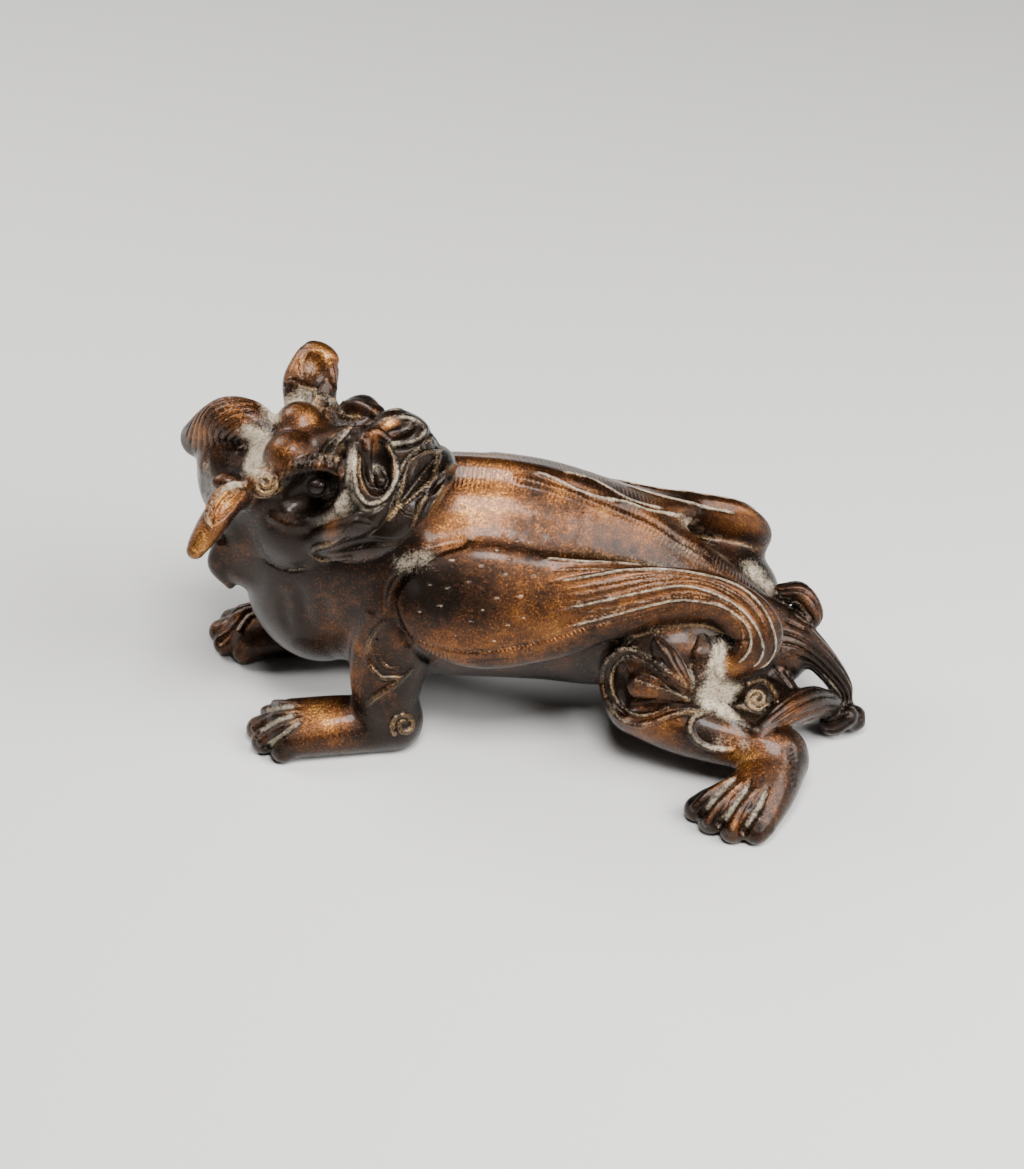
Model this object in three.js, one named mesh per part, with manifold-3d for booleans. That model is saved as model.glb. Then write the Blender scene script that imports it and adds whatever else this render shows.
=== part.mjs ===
import * as THREE from 'three';
import { mergeVertices } from 'three/addons/utils/BufferGeometryUtils.js';
import Module from 'manifold-3d';

const wasm = await Module();
wasm.setup();

// A crouching pixiu cast in one piece of bronze, small enough to hold down a scroll.
// Millimetres, +Z up. The body lies along X with the chest towards -X and the tail towards +X,
// and the head turns to look over the animal's left flank, towards -Y.

const figureLength = 122;          // fore toes to the end of the tail lock

// The figure is laid out on a grid of 122 shares of its own length, so a share is about a millimetre.
const share = figureLength / 122;

// Sizes of the features that repeat, in shares
const toeRadius = 2.5;
const toeArch = 0.5;               // how far a knuckle rises over the straight line to its claw
const footSink = 0.9;              // how far the feet reach below the ground before they are cut flat
const hornRadius = 4.1;
const earThickness = 2.5;
const featherRadius = 0.95;
const featherCount = 4;
const rimRadius = 1.15;
const nostrilWidth = 0.68;         // share of its length
const lockRadius = 2.3;
const shortestEdge = 0.55;         // slivers with a shorter edge are closed up

// A point in shares becomes a point in millimetres
function place(x, y, z) {
  return new THREE.Vector3(x, y, z).multiplyScalar(share);
}

// A closed mesh becomes a solid
function solid(geometry) {
  geometry.deleteAttribute('normal');
  geometry.deleteAttribute('uv');
  const merged = mergeVertices(geometry, 1e-5);
  return new wasm.Manifold(new wasm.Mesh({
    numProp: 3,
    vertProperties: new Float32Array(merged.attributes.position.array),
    triVerts: new Uint32Array(merged.index.array),
  }));
}

// A tube of oval section along a smooth path, with rounded ends.
// A station is [x, y, z, half width, half height] in shares; side is the direction of the width,
// or one direction for each station.
function tube(stations, side = [0, 1, 0], sides = 10, steps = stations.length * 2) {
  const smooth = (points) => new THREE.CatmullRomCurve3(points, false, 'catmullrom', 0.5);
  const path = smooth(stations.map((s) => place(s[0], s[1], s[2])));
  const size = smooth(stations.map((s) => place(s[3], s[4] ?? s[3], 0)));
  const turning = Array.isArray(side[0]) ? smooth(side.map((d) => new THREE.Vector3(...d))) : null;
  const swell = 1 / Math.sqrt(Math.cos(Math.PI / sides));  // the flats straddle the true curve
  const positions = [];
  const addRing = (t, lean) => {
    const centre = path.getPoint(t);
    const along = path.getTangent(t);
    const radii = size.getPoint(t);
    const across = turning ? turning.getPoint(t) : new THREE.Vector3(...side);
    across.addScaledVector(along, -across.dot(along)).normalize();
    const up = new THREE.Vector3().crossVectors(along, across);
    const reach = Math.min(radii.x, radii.y);
    centre.addScaledVector(along, reach * Math.sin(lean));
    if (Math.abs(lean) === Math.PI / 2) {      // the pole of a rounded end
      positions.push(...centre.toArray());
      return;
    }
    for (let k = 0; k < sides; k++) {
      const angle = (2 * Math.PI * k) / sides;
      const point = centre.clone()
        .addScaledVector(across, radii.x * Math.cos(angle) * Math.cos(lean) * swell)
        .addScaledVector(up, radii.y * Math.sin(angle) * Math.cos(lean) * swell);
      positions.push(...point.toArray());
    }
  };
  addRing(0, -Math.PI / 2);
  addRing(0, -Math.PI / 4);
  for (let i = 0; i <= steps; i++) addRing(i / steps, 0);
  addRing(1, Math.PI / 4);
  addRing(1, Math.PI / 2);

  const rings = steps + 3;
  const last = 1 + rings * sides;
  const at = (ring, k) => 1 + ring * sides + (k % sides);
  const index = [];
  for (let k = 0; k < sides; k++) {
    index.push(0, at(0, k + 1), at(0, k));
    index.push(last, at(rings - 1, k), at(rings - 1, k + 1));
    for (let ring = 0; ring < rings - 1; ring++) {
      index.push(at(ring, k), at(ring, k + 1), at(ring + 1, k + 1));
      index.push(at(ring, k), at(ring + 1, k + 1), at(ring + 1, k));
    }
  }
  const geometry = new THREE.BufferGeometry();
  geometry.setAttribute('position', new THREE.Float32BufferAttribute(positions, 3));
  geometry.setIndex(index);
  return solid(geometry);
}

// An egg shape, its three radii along the three directions of a frame
function ball(centre, radii, frame = null, around = 12, down = 8) {
  const geometry = new THREE.SphereGeometry(1, around, down);
  geometry.scale(...place(...radii).toArray());
  if (frame) geometry.applyMatrix4(frame);
  geometry.translate(...place(...centre).toArray());
  return solid(geometry);
}

function join(solids) {
  return solids.reduce((whole, one) => whole.add(one));
}

// The middle line of the body, seen from above
function bodyMiddle(x) {
  return x < 0 ? THREE.MathUtils.mapLinear(x, -40, 0, 7, 6) : THREE.MathUtils.mapLinear(x, 0, 45, 6, 3);
}

// The trunk: deep chest, arched back, low rump, and a ridge along the spine
function makeTrunk() {
  const trunk = tube([
    [-38, 7, 25, 12, 15],
    [-26, 7, 29, 15, 21],
    [-10, 7, 29.5, 15.5, 22.2],
    [4, 6, 28, 14.5, 21.2],
    [16, 5, 24.5, 13, 19],
    [28, 4, 20.2, 12, 14.6],
    [38, 3, 16.5, 11, 10],
    [45, 3, 14.5, 8.5, 7.2],
  ], [0, 1, 0], 16, 11);
  const spine = tube([-20, -10, 4, 16, 28, 38, 46].map((x, i) => {
    const height = [50.2, 51.3, 49.2, 43.6, 34.8, 27, 21.6][i];
    return [x, bodyMiddle(x), height, 1.6 - 0.05 * i];
  }), [0, 1, 0], 5, 9);
  const neck = tube([
    [-24, 7, 34, 15],
    [-36, 8, 35.5, 13.6],
    [-43, 10, 40, 11.5],
    [-46, 11.5, 44, 10],
  ], [0, 1, 0], 12, 4);
  return [trunk, spine, neck];
}

// The head has a frame of its own: forward along the muzzle, left and right, and up.
// In it a point is [forward, sideways, up], and sideways is negative towards the left flank.
const headCentre = [-38, 6, 50.3];
const headForward = new THREE.Vector3(0.66, -0.54, 0.52).normalize();
const headSideways = new THREE.Vector3(0.49, 0.83, 0.25);
headSideways.addScaledVector(headForward, -headSideways.dot(headForward)).normalize();
const headUp = new THREE.Vector3().crossVectors(headForward, headSideways);
const headFrame = new THREE.Matrix4().makeBasis(headForward, headSideways, headUp);

function headPoint(forward, sideways, up) {
  return new THREE.Vector3(forward, sideways, up).applyMatrix4(headFrame)
    .add(new THREE.Vector3(...headCentre)).toArray();
}

function headTube(stations, side, sides, steps) {
  const turned = stations.map((s) => [...headPoint(s[0], s[1], s[2]), s[3], s[4] ?? s[3]]);
  const direction = new THREE.Vector3(...side).applyMatrix4(headFrame).toArray();
  return tube(turned, direction, sides, steps);
}

function headBall(centre, radii, around, down) {
  return ball(headPoint(...centre), radii, headFrame, around, down);
}

// A flat spiral as stations, from the outside in, in the plane of two directions
function spiral(centre, first, second, outer, turns, radius, start = 0) {
  const stations = [];
  const count = Math.round(turns * 8);
  for (let i = 0; i <= count; i++) {
    const angle = start + (i / 8) * 2 * Math.PI;
    const reach = outer * (1 - (0.8 * i) / count);
    const point = new THREE.Vector3(...centre)
      .addScaledVector(first, reach * Math.cos(angle))
      .addScaledVector(second, reach * Math.sin(angle));
    stations.push([...point.toArray(), radius * (1 - (0.3 * i) / count)]);
  }
  return stations;
}

// The left side is -1 and the right side is 1
const bothSides = [-1, 1];

function makeSkull() {
  return [
    headBall([-5, 0, 0], [14, 12.5, 10.5], 16, 10),
    ...bothSides.map((s) => headBall([-3, 8.8 * s, -5.6], [7.8, 5.8, 7.4], 10, 8)),
    ...bothSides.map((s) => headBall([2.5, 4.3 * s, 7.2], [5, 4.6, 4.6], 8, 7)),
    headTube([[6, 0, -1, 10.5, 8], [14, 0, -2, 10, 7], [20, 0, -3, 9, 5]], [0, 1, 0], 10, 3),
    headTube([[8, 0, 4, 3.2, 3], [15, 0, 4.2, 2.8], [21, 0, 2.6, 3, 2.6]], [0, 1, 0], 6, 3),
    headTube([[-14, 0, 6, 8], [-19, 0, 0, 8], [-21, -2, -8, 6]], [0, 1, 0], 9, 3),
  ];
}

// The mouth: an upper lip and a broad lower lip run round the muzzle from cheek to cheek
function makeMouth() {
  const upperLip = headTube([
    [4, -12.4, -6, 1.8],
    [12, -12, -5.4, 2],
    [19, -10.5, -5.2, 2.2],
    [22.8, -5.5, -4.2, 2.2],
    [24, 0, -3.8, 2.2],
    [22.8, 5.5, -4.6, 2.2],
    [18, 10, -6, 2.2],
    [11, 12, -7, 2],
    [4, 12.4, -7, 1.8],
  ], [0, 0, 1], 5, 13);
  const lowerLip = headTube([
    [4, -12.2, -9.4, 2],
    [12, -12, -10.2, 2.4],
    [19.2, -10, -9.8, 2.7],
    [23.6, -5.5, -8.8, 2.7],
    [25, 0, -8.4, 2.7],
    [23.6, 5.5, -8.8, 2.7],
    [18.6, 10, -9.4, 2.7],
    [12, 12, -10, 2.4],
    [4, 12.2, -9.4, 2],
  ], [0, 0, 1], 6, 13);
  const jaw = headTube([
    [-2, 0, -8.5, 9, 5],
    [8, 0, -9.2, 10, 4.8],
    [17, 0, -9.4, 9.6, 4.4],
    [22, 0, -9.2, 7.6, 3.8],
  ], [0, 1, 0], 12, 4);
  return [upperLip, lowerLip, jaw];
}

// A nostril is a slanted oval, high at the nose and low towards the cheek, with a curled rim
// round its hole. Its long direction and the way it faces are given in the head's frame.
function makeNostril(s, centre, reach) {
  const long = new THREE.Vector3(0.1, -0.69 * s, 0.71).normalize();
  const facing = new THREE.Vector3(0.76, 0.5 * s, 0.41);
  facing.addScaledVector(long, -facing.dot(long)).normalize();
  const short = new THREE.Vector3().crossVectors(facing, long);
  const frame = headFrame.clone().multiply(new THREE.Matrix4().makeBasis(long, short, facing));
  const rim = [];
  const rimSteps = 9;
  for (let i = 0; i <= rimSteps; i++) {
    const angle = Math.PI * (0.2 - (1.75 * s * i) / rimSteps);
    const point = new THREE.Vector3(...centre)
      .addScaledVector(long, reach * 0.86 * Math.cos(angle))
      .addScaledVector(short, reach * nostrilWidth * 0.86 * Math.sin(angle))
      .addScaledVector(facing, reach * 0.42);
    rim.push([...point.toArray(), rimRadius]);
  }
  const mouth = new THREE.Vector3(...centre).addScaledVector(facing, reach * 0.6);
  const bulb = ball(headPoint(...centre), [reach, reach * nostrilWidth, reach * 0.62], frame, 10, 7);
  const hole = ball(headPoint(...mouth), [reach * 0.62, reach * nostrilWidth * 0.6, reach * 0.4],
    frame, 8, 5);
  return [bulb.subtract(hole), headTube(rim, [0, 0, 1], 5, 11)];
}

// Deep sockets with an eyeball in each, under a brow that rolls up into a spiral at its outer end
function makeSockets() {
  return bothSides.map((s) => headBall([12, 10.2 * s, 2.6], [5, 3.6, 3.6], 10, 8));
}

function makeEyes() {
  return bothSides.flatMap((s) => {
    const brow = headTube([
      [4, 11.2 * s, 6.8, 2],
      [9, 10 * s, 7.2, 1.7],
      [13.5, 7.4 * s, 6.4, 1.5],
      [16, 4.4 * s, 5.6, 1.2],
    ], [1, 0, 0], 5, 4);
    const curl = tube(
      spiral(headPoint(3.4, 11.8 * s, 7.2), headForward, headUp, 1.9, 1.25, 0.75, Math.PI / 4),
      headSideways.toArray(), 5, 10);
    return [headBall([11.3, 8.2 * s, 2.2], [2.8, 2.4, 2.2], 7, 5), brow, curl];
  });
}

// Thick leaf ears, the left one drooping and the right one standing, each with a lock at its root
function makeEars() {
  const leftEar = headTube([
    [-3, -10, 6.5, 3.4, earThickness],
    [-5.5, -13.5, 6.2, 3.6, earThickness],
    [-6.8, -17.5, 5.6, 3.4, earThickness],
    [-8.2, -21.5, 4.6, 2.6, 2],
    [-8.6, -23, 4.2, 1.8, 1.6],
  ], [1, 0, 0.3], 9, 5);
  const rightEar = headTube([
    [-1, 9.5, 8, 5, 3.4],
    [-1.2, 13, 10.6, 4.6, 3.2],
    [-1.6, 16.6, 12, 4, 3],
    [-1.8, 18.6, 12.4, 2.8, 2.4],
  ], [1, 0, 0.3], 9, 4);
  const leftLobe = headBall([-2.6, -12.2, 9.6], [2.6, 2.6, 2.6], 7, 5);
  const rightLock = headBall([-5.4, 11, 11.2], [2.2, 1.6, 1.6], 6, 5);
  return [leftEar, rightEar, leftLobe, rightLock];
}

// One thick horn rises from the crown and lies back over the nape, with a twist carved round it
function makeHorn() {
  const line = [
    [2.5, 0, 9, hornRadius * 0.88],
    [0.2, 0, 13.2, hornRadius],
    [-6, 0, 14.6, hornRadius],
    [-13, 0, 13.5, hornRadius],
    [-20.3, 0, 12, hornRadius * 0.9],
  ];
  const horn = headTube(line, [0, 1, 0], 11, 7);
  const path = new THREE.CatmullRomCurve3(line.map((s) => new THREE.Vector3(s[0], s[1], s[2])));
  const twists = [0.42, 0.56, 0.7, 0.84].map((t) => {
    const stations = [-1, -0.33, 0.33, 1].map((turn) => {
      const point = path.getPoint(THREE.MathUtils.clamp(t + 0.05 * turn, 0, 1));
      const angle = turn * 1.3;
      return [
        point.x,
        point.y - hornRadius * Math.sin(angle),
        point.z + hornRadius * Math.cos(angle),
        0.6,
      ];
    });
    return headTube(stations, [1, 0, 0], 4, 3);
  });
  return [horn, ...twists];
}

// Each wing grows from the shoulder as a broad lobe, sweeps back along the flank in raised
// feathers and curls under at its tip
function makeWing(s) {
  const inset = (x) => (s > 0 ? 1.6 * THREE.MathUtils.clamp((x - 5) / 25, 0, 1) : 0);
  const line = [
    [-17, 15.5, 33, 9, 3.2],
    [-8, 16.6, 32.5, 11, 3.6],
    [3, 16.3, 32.5, 9.5, 3.2],
    [14, 15, 33.6, 7.2, 2.8],
    [24, 13.6, 34.6, 5.2, 2.5],
    [32, 13.4, 34.6, 4.6, 2.4],
    [38, 14.2, 32.2, 4.8, 2.4],
    [41, 15.4, 28.5, 4.6, 2.3],
    [39.3, 16.8, 24.8, 4, 2.2],
    [36.8, 17.6, 23.2, 2.8, 2],
  ].map(([x, out, z, wide, thick]) => [x, bodyMiddle(x) + s * (out - inset(x)), z, wide, thick]);
  const flankSide = [0, s * 0.32, -0.95];
  const directions = [
    ...Array(5).fill(flankSide),
    [0.1, s * 0.3, -0.95],
    [-0.5, s * 0.2, -0.85],
    [-0.98, s * 0.1, -0.1],
    [-0.5, s * 0.1, 0.85],
    [-0.2, 0, 1],
  ];
  const blade = tube(line, directions, 10, 15);

  // feathers lie on the outer face, spread across the width of the blade
  const feathers = [];
  for (let i = 0; i < featherCount; i++) {
    const across = -0.72 + (1.44 * i) / (featherCount - 1);
    const stations = line.slice(2, 8).map(([x, y, z, wide, thick], k) => {
      const down = new THREE.Vector3(...directions[k + 2]).normalize();
      const lift = thick * Math.sqrt(1 - across * across) - featherRadius * 0.35;
      return [
        x + down.x * wide * across,
        y + down.y * wide * across + s * lift,
        z + down.z * wide * across + 0.3 * lift,
        featherRadius * (k === 0 || k === 5 ? 0.6 : 1),
      ];
    });
    feathers.push(tube(stations, [0, s, 0], 4, 8));
  }
  return [blade, ...feathers];
}

// A foot spreads from the heel into a pad with four arched toes
function makeFoot(pad, padSide, knuckle, claws) {
  const foot = tube(pad.map(([x, y, z, wide, tall]) => [x, y, z - footSink / 2, wide, tall + footSink / 2]),
    padSide, 9, 3);
  const toes = claws.map((claw) => {
    const mix = (t, rise) => knuckle.map((v, k) => v * (1 - t) + claw[k] * t + (k === 2 ? rise : 0));
    return tube([
      [...mix(0.4, 0), toeRadius * 0.9],
      [...mix(0.75, toeArch), toeRadius],
      [...mix(1, -footSink / 4), toeRadius * 0.94],
    ], [0, 1, 0], 6, 3);
  });
  return [foot, ...toes];
}

function makeForeleg(upper, dx, dy) {
  const shift = ([x, y, ...rest]) => [x + dx, y + dy, ...rest];
  return [
    tube(upper, [0, 1, 0], 11, 4),
    ...makeFoot(
      [[-23.5, -7, 4.6, 4.8, 4.6], [-33, -7.6, 4.4, 5.6, 4.2], [-42, -7.8, 3.6, 6.6, 3.4]].map(shift),
      [0, 1, 0],
      shift([-36, -7.6, 4.6]),
      [[-46.5, -2.6, 2.4], [-48.3, -6, 2.4], [-47.2, -9.6, 2.4], [-43.5, -12.2, 2.4]].map(shift),
    ),
  ];
}

// Each upper foreleg comes down from the shoulder to the heel of its paw
const leftForeleg = [[-21, -2, 28, 9.5], [-24, -4.5, 18, 7.4], [-25, -6.5, 11, 6.2], [-24, -7, 6, 5.4]];
const rightForeleg = [[-26, 16, 28, 9], [-30, 18.5, 18, 7.2], [-33, 20.5, 11, 6.2], [-33, 22, 6, 5.4]];
const rightPawShift = [-9, 29.5];

// The middle of a foreleg at a height
function legMiddle(leg, height) {
  const below = Math.max(leg.findIndex((station) => station[2] <= height), 1);
  const [x1, y1, z1] = leg[below - 1];
  const [x2, y2, z2] = leg[below];
  const t = (height - z1) / (z2 - z1);
  return [x1 + (x2 - x1) * t, y1 + (y2 - y1) * t];
}

// Two flames curl back from the front of each upper foreleg, and the elbow rolls into a spiral.
// They are drawn on the left leg, and mirrored onto the right one.
function carveForeleg(leg, s) {
  const turn = (stations) => stations.map(([x, y, z]) => {
    const [fromX, fromY] = legMiddle(leftForeleg, z);
    const [toX, toY] = legMiddle(leg, z);
    return [toX + x - fromX, toY - s * (y - fromY), z, rimRadius * 0.9];
  });
  const upper = [[-25.6, -10.4, 25.6], [-26.6, -10.6, 22.4], [-25, -11.2, 19.2], [-21.8, -11, 18]];
  const lower = [[-23.6, -11.4, 16.2], [-26.8, -11, 14], [-26.8, -11.6, 11]];
  const elbow = spiral([-21.6, -11.4, 10.4], new THREE.Vector3(1, 0, 0), new THREE.Vector3(0, 0, 1),
    2.9, 1.25, rimRadius, Math.PI / 2);
  return [
    tube(turn(upper), [0, 1, 0], 5, 5),
    tube(turn(lower), [0, 1, 0], 5, 4),
    tube(turn(elbow), [0, 1, 0], 5, 9),
  ];
}

function makeForelegs() {
  return [
    ...makeForeleg(leftForeleg, 0, 0),
    ...makeForeleg(rightForeleg, ...rightPawShift),
    ...carveForeleg(leftForeleg, -1),
    ...carveForeleg(rightForeleg, 1),
  ];
}

const leftHaunch = [27.6, -8.5, 18];
const rightHaunch = [33, 13.5, 18];
const haunchRadii = [13.8, 8.5, 11.5];

// The haunch is carved with a shell: a rim that loops forward and back, a drop inside it, a leaf
// fold above it and a flame below. The carving is drawn for the left side and mirrored to the right.
function carveHaunch(centre, s) {
  const turn = (stations) => stations.map(([x, y, z, radius = rimRadius]) => [
    centre[0] + x - leftHaunch[0],
    centre[1] - s * (y - leftHaunch[1]),
    centre[2] + z - leftHaunch[2],
    radius,
  ]);
  const rim = [[22, -11.8, 26.8], [17.4, -11.2, 23.6], [14.4, -10.6, 18], [14.8, -13, 12.4],
    [17.6, -16.2, 10.2], [20.6, -17.8, 11.4], [23.6, -18.2, 14.2], [27.4, -17.9, 15.6],
    [31, -17.6, 15.2]];
  const leaf = [[22, -11.8, 26.8], [24.2, -14.4, 25.2], [26.8, -16.3, 22.4], [29, -17, 19.4]];
  const flame = [[32.4, -17.8, 15], [29.8, -18.9, 14.2], [28.8, -20.2, 12.2], [30, -20.9, 10.2],
    [32.6, -21.4, 9.8], [36.2, -22, 10.4]];
  const drop = [[21.4, -14.4, 20, 2.4], [24.6, -15.7, 19.4, 2], [28.6, -16.9, 17.8, 0.8]];
  return [
    tube(turn(rim), [0, 0, 1], 5, 14),
    tube(turn(leaf), [0, 0, 1], 5, 4),
    tube(turn(flame), [0, 0, 1], 5, 8),
    tube(turn(drop), [0, 0, 1], 7, 3),
  ];
}

function makeHindlegs() {
  const left = [
    ball(leftHaunch, haunchRadii, null, 13, 8),
    ...carveHaunch(leftHaunch, -1),
    tube([[21, -11, 13, 6.8], [28, -14.5, 10.5, 5.8], [36, -17.5, 9.3, 5], [45, -19.5, 8, 4.6]],
      [0, 1, 0], 9, 4),
    ...makeFoot(
      [[45.5, -20, 6.5, 5, 5], [42, -26, 5, 6, 4.4], [38, -30.5, 3.6, 7.2, 3.2]],
      [0.88, -0.45, 0],
      [41.5, -26, 4.8],
      [[30.3, -28.5, 2.3], [32.6, -31.8, 2.3], [36.3, -34.3, 2.3], [40.3, -34.8, 2.4]],
    ),
  ];
  const right = [
    ball(rightHaunch, haunchRadii, null, 13, 8),
    ...carveHaunch(rightHaunch, 1),
    tube([[22, 16, 13, 7.2], [30, 20, 10, 6], [37, 23, 9, 5], [44, 25, 8, 4.4]], [0, 1, 0], 9, 4),
    ...makeFoot(
      [[44.5, 25.5, 6.2, 4.8, 4.8], [40, 30, 5, 5.8, 4.2], [35, 33.5, 3.6, 7, 3.2]],
      [0.7, 0.7, 0],
      [39.5, 30, 4.8],
      [[28.3, 31.8, 2.3], [29.6, 35.4, 2.3], [32.6, 38.2, 2.3], [36.4, 39.2, 2.4]],
    ),
  ];
  return [...left, ...right];
}

// The tail: a grooved bundle drops from the rump to a knot, and its locks part and curl
function makeTail() {
  return [
    tube([[44, 3, 19, 5.5, 3.5], [49, 2, 17.5, 5, 3], [54, 1, 12.5, 3.4, 2.6], [57.5, 0, 7.5, 2.6, 2.2],
      [57.5, -1, 4, 2.2]], [0, 1, 0], 9, 7),
    tube([[57.5, -1, 4, 2.4], [56, -5, 3, 2.6], [58.5, -6, 5, 2]], [0, 1, 0], 6, 4),
    ball([60, -4, 3], [2.3, 2.3, 2.6], null, 7, 5),
    tube([[56, -6, 7, 2.6], [52, -11, 8.5, 2.6], [47, -16, 9, 2.6, 2.4], [42, -19.5, 10.8, 2, 1.8]],
      [0, 0, 1], 7, 5),
    tube([[46, -2, 15, lockRadius], [49.5, -6, 11, lockRadius], [52, -9, 8, lockRadius * 0.9]],
      [0, 1, 0], 6, 3),
    tube([[49, 5, 17, lockRadius], [52, 6, 19, lockRadius], [50, 7.5, 22.5, lockRadius],
      [46.8, 8, 22.5, lockRadius * 0.8]], [0, 1, 0], 6, 5),
  ];
}

// Pointed locks of the mane hang behind the cheeks, two on each side
function makeMane() {
  return bothSides.flatMap((s) => [0, 1].map((i) => headTube([
    [-13 + 1.5 * i, s * (7 - 2 * i), -3 - 4 * i, 2.8],
    [-16.5 + 1.5 * i, s * (10 - 2 * i), -8.5 - 4.5 * i, 2.6, 2],
    [-16 + 2 * i, s * (10.5 - 2 * i), -14 - 5 * i, 1, 0.8],
  ], [0, 1, 0], 6, 3)));
}

// Everything is one casting: joined, cut flat at the ground and hollowed at the eyes
function makeFigure() {
  const masses = join([...makeTrunk(), ...makeSkull(), ...makeMouth()]);
  const withSockets = makeSockets().reduce((whole, one) => whole.subtract(one), masses);
  const figure = join([
    withSockets,
    ...makeNostril(-1, [23, -5, 1.4], 6.4),
    ...makeNostril(1, [22, 5.2, 0.4], 6),
    ...makeEyes(),
    ...makeEars(),
    ...makeHorn(),
    ...bothSides.flatMap(makeWing),
    ...makeForelegs(),
    ...makeHindlegs(),
    ...makeTail(),
    ...makeMane(),
  ]);
  const groundDepth = 20 * share;
  const ground = new THREE.BoxGeometry(3 * figureLength, 3 * figureLength, groundDepth);
  ground.translate(0, 0, -groundDepth / 2);
  return figure.subtract(solid(ground));
}

// The outer skin alone: the largest connected set of triangles, as lists of corners
function outerSkin(triangles, count) {
  const parent = Array.from({ length: count }, (_, i) => i);
  const root = (i) => {
    while (parent[i] !== i) {
      parent[i] = parent[parent[i]];
      i = parent[i];
    }
    return i;
  };
  for (const [a, b, c] of triangles) {
    parent[root(a)] = root(b);
    parent[root(b)] = root(c);
  }
  const tally = new Map();
  for (const [a] of triangles) tally.set(root(a), (tally.get(root(a)) ?? 0) + 1);
  const largest = [...tally].sort((p, q) => q[1] - p[1])[0][0];
  return triangles.filter(([a]) => root(a) === largest);
}

// Slivers where two forms meet are closed up: an edge shorter than the limit shrinks to its middle,
// where that keeps the skin closed and turns no face over
function closeSlivers(points, triangles, limit) {
  const around = points.map(() => new Set());
  triangles.forEach((corners, t) => corners.forEach((v) => around[v].add(t)));
  const neighbours = (v) => {
    const found = new Set();
    for (const t of around[v]) for (const w of triangles[t]) if (w !== v) found.add(w);
    return found;
  };
  const normalOf = (corners, at) => {
    const [a, b, c] = corners.map(at);
    return new THREE.Vector3().crossVectors(b.clone().sub(a), c.clone().sub(a));
  };
  const shrink = (a, b) => {
    const shared = [...neighbours(a)].filter((v) => neighbours(b).has(v));
    if (shared.length !== 2) return false;
    const middle = points[a].clone().add(points[b]).multiplyScalar(0.5);
    const moved = (v) => (v === a || v === b ? middle : points[v]);
    const doomed = [...around[a]].filter((t) => around[b].has(t));
    for (const t of new Set([...around[a], ...around[b]])) {
      if (doomed.includes(t)) continue;
      const before = normalOf(triangles[t], (v) => points[v]);
      const after = normalOf(triangles[t], moved);
      const turned = before.dot(after) < 0.5 * before.length() * after.length();
      if (turned || after.length() < limit * limit * 0.02) return false;
    }
    points[a].copy(middle);
    for (const t of doomed) {
      for (const v of triangles[t]) around[v].delete(t);
      triangles[t] = null;
    }
    for (const t of around[b]) {
      triangles[t] = triangles[t].map((v) => (v === b ? a : v));
      around[a].add(t);
    }
    around[b].clear();
    return true;
  };
  let changed = true;
  while (changed) {
    changed = false;
    const short = [];
    triangles.forEach((corners) => {
      if (!corners) return;
      corners.forEach((a, k) => {
        const b = corners[(k + 1) % 3];
        const length = points[a].distanceTo(points[b]);
        if (a < b && length < limit) short.push([length, a, b]);
      });
    });
    short.sort((p, q) => p[0] - q[0]);
    for (const [, a, b] of short) {
      const near = around[a].size && around[b].size && points[a].distanceTo(points[b]) < limit;
      if (near && neighbours(a).has(b) && shrink(a, b)) changed = true;
    }
  }
  return triangles.filter(Boolean);
}

// Where two folds of the skin only touch at a corner, each corner draws back a little into its own side
function partTouching(points, triangles, gap) {
  const inward = points.map(() => new THREE.Vector3());
  for (const [a, b, c] of triangles) {
    const normal = new THREE.Vector3().crossVectors(
      points[b].clone().sub(points[a]), points[c].clone().sub(points[a]));
    for (const v of [a, b, c]) inward[v].sub(normal);
  }
  const places = new Map();
  for (const v of new Set(triangles.flat())) {
    const key = points[v].toArray().map((value) => Math.round(value / (gap / 10))).join();
    places.set(key, [...(places.get(key) ?? []), v]);
  }
  for (const together of places.values()) {
    if (together.length < 2) continue;
    for (const v of together) points[v].addScaledVector(inward[v].normalize(), gap);
  }
}

function makeGeometry(whole) {
  const mesh = whole.getMesh();
  const points = [];
  for (let i = 0; i < mesh.vertProperties.length; i += 3) {
    points.push(new THREE.Vector3().fromArray(mesh.vertProperties, i));
  }
  const corners = [];
  for (let i = 0; i < mesh.triVerts.length; i += 3) corners.push([...mesh.triVerts.slice(i, i + 3)]);
  const skin = closeSlivers(points, outerSkin(corners, points.length), shortestEdge * share);
  partTouching(points, skin, shortestEdge * share * 0.05);
  const geometry = new THREE.BufferGeometry();
  geometry.setAttribute('position', new THREE.Float32BufferAttribute(points.flatMap((p) => p.toArray()), 3));
  geometry.setIndex(skin.flat());
  return mergeVertices(geometry.toNonIndexed(), 1e-6);
}

// The origin is on the ground below the middle of the figure's box
const geometry = makeGeometry(makeFigure());
geometry.computeBoundingBox();
const middle = geometry.boundingBox.getCenter(new THREE.Vector3());
geometry.translate(-middle.x, -middle.y, 0);

const bronze = new THREE.MeshStandardMaterial({ color: 0x3a2a1c, roughness: 0.35, metalness: 0.9 });
const figureMesh = new THREE.Mesh(geometry, bronze);
figureMesh.name = 'pixiu_figure';

const figureGroup = new THREE.Group();
figureGroup.add(figureMesh);

export default figureGroup;
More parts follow.
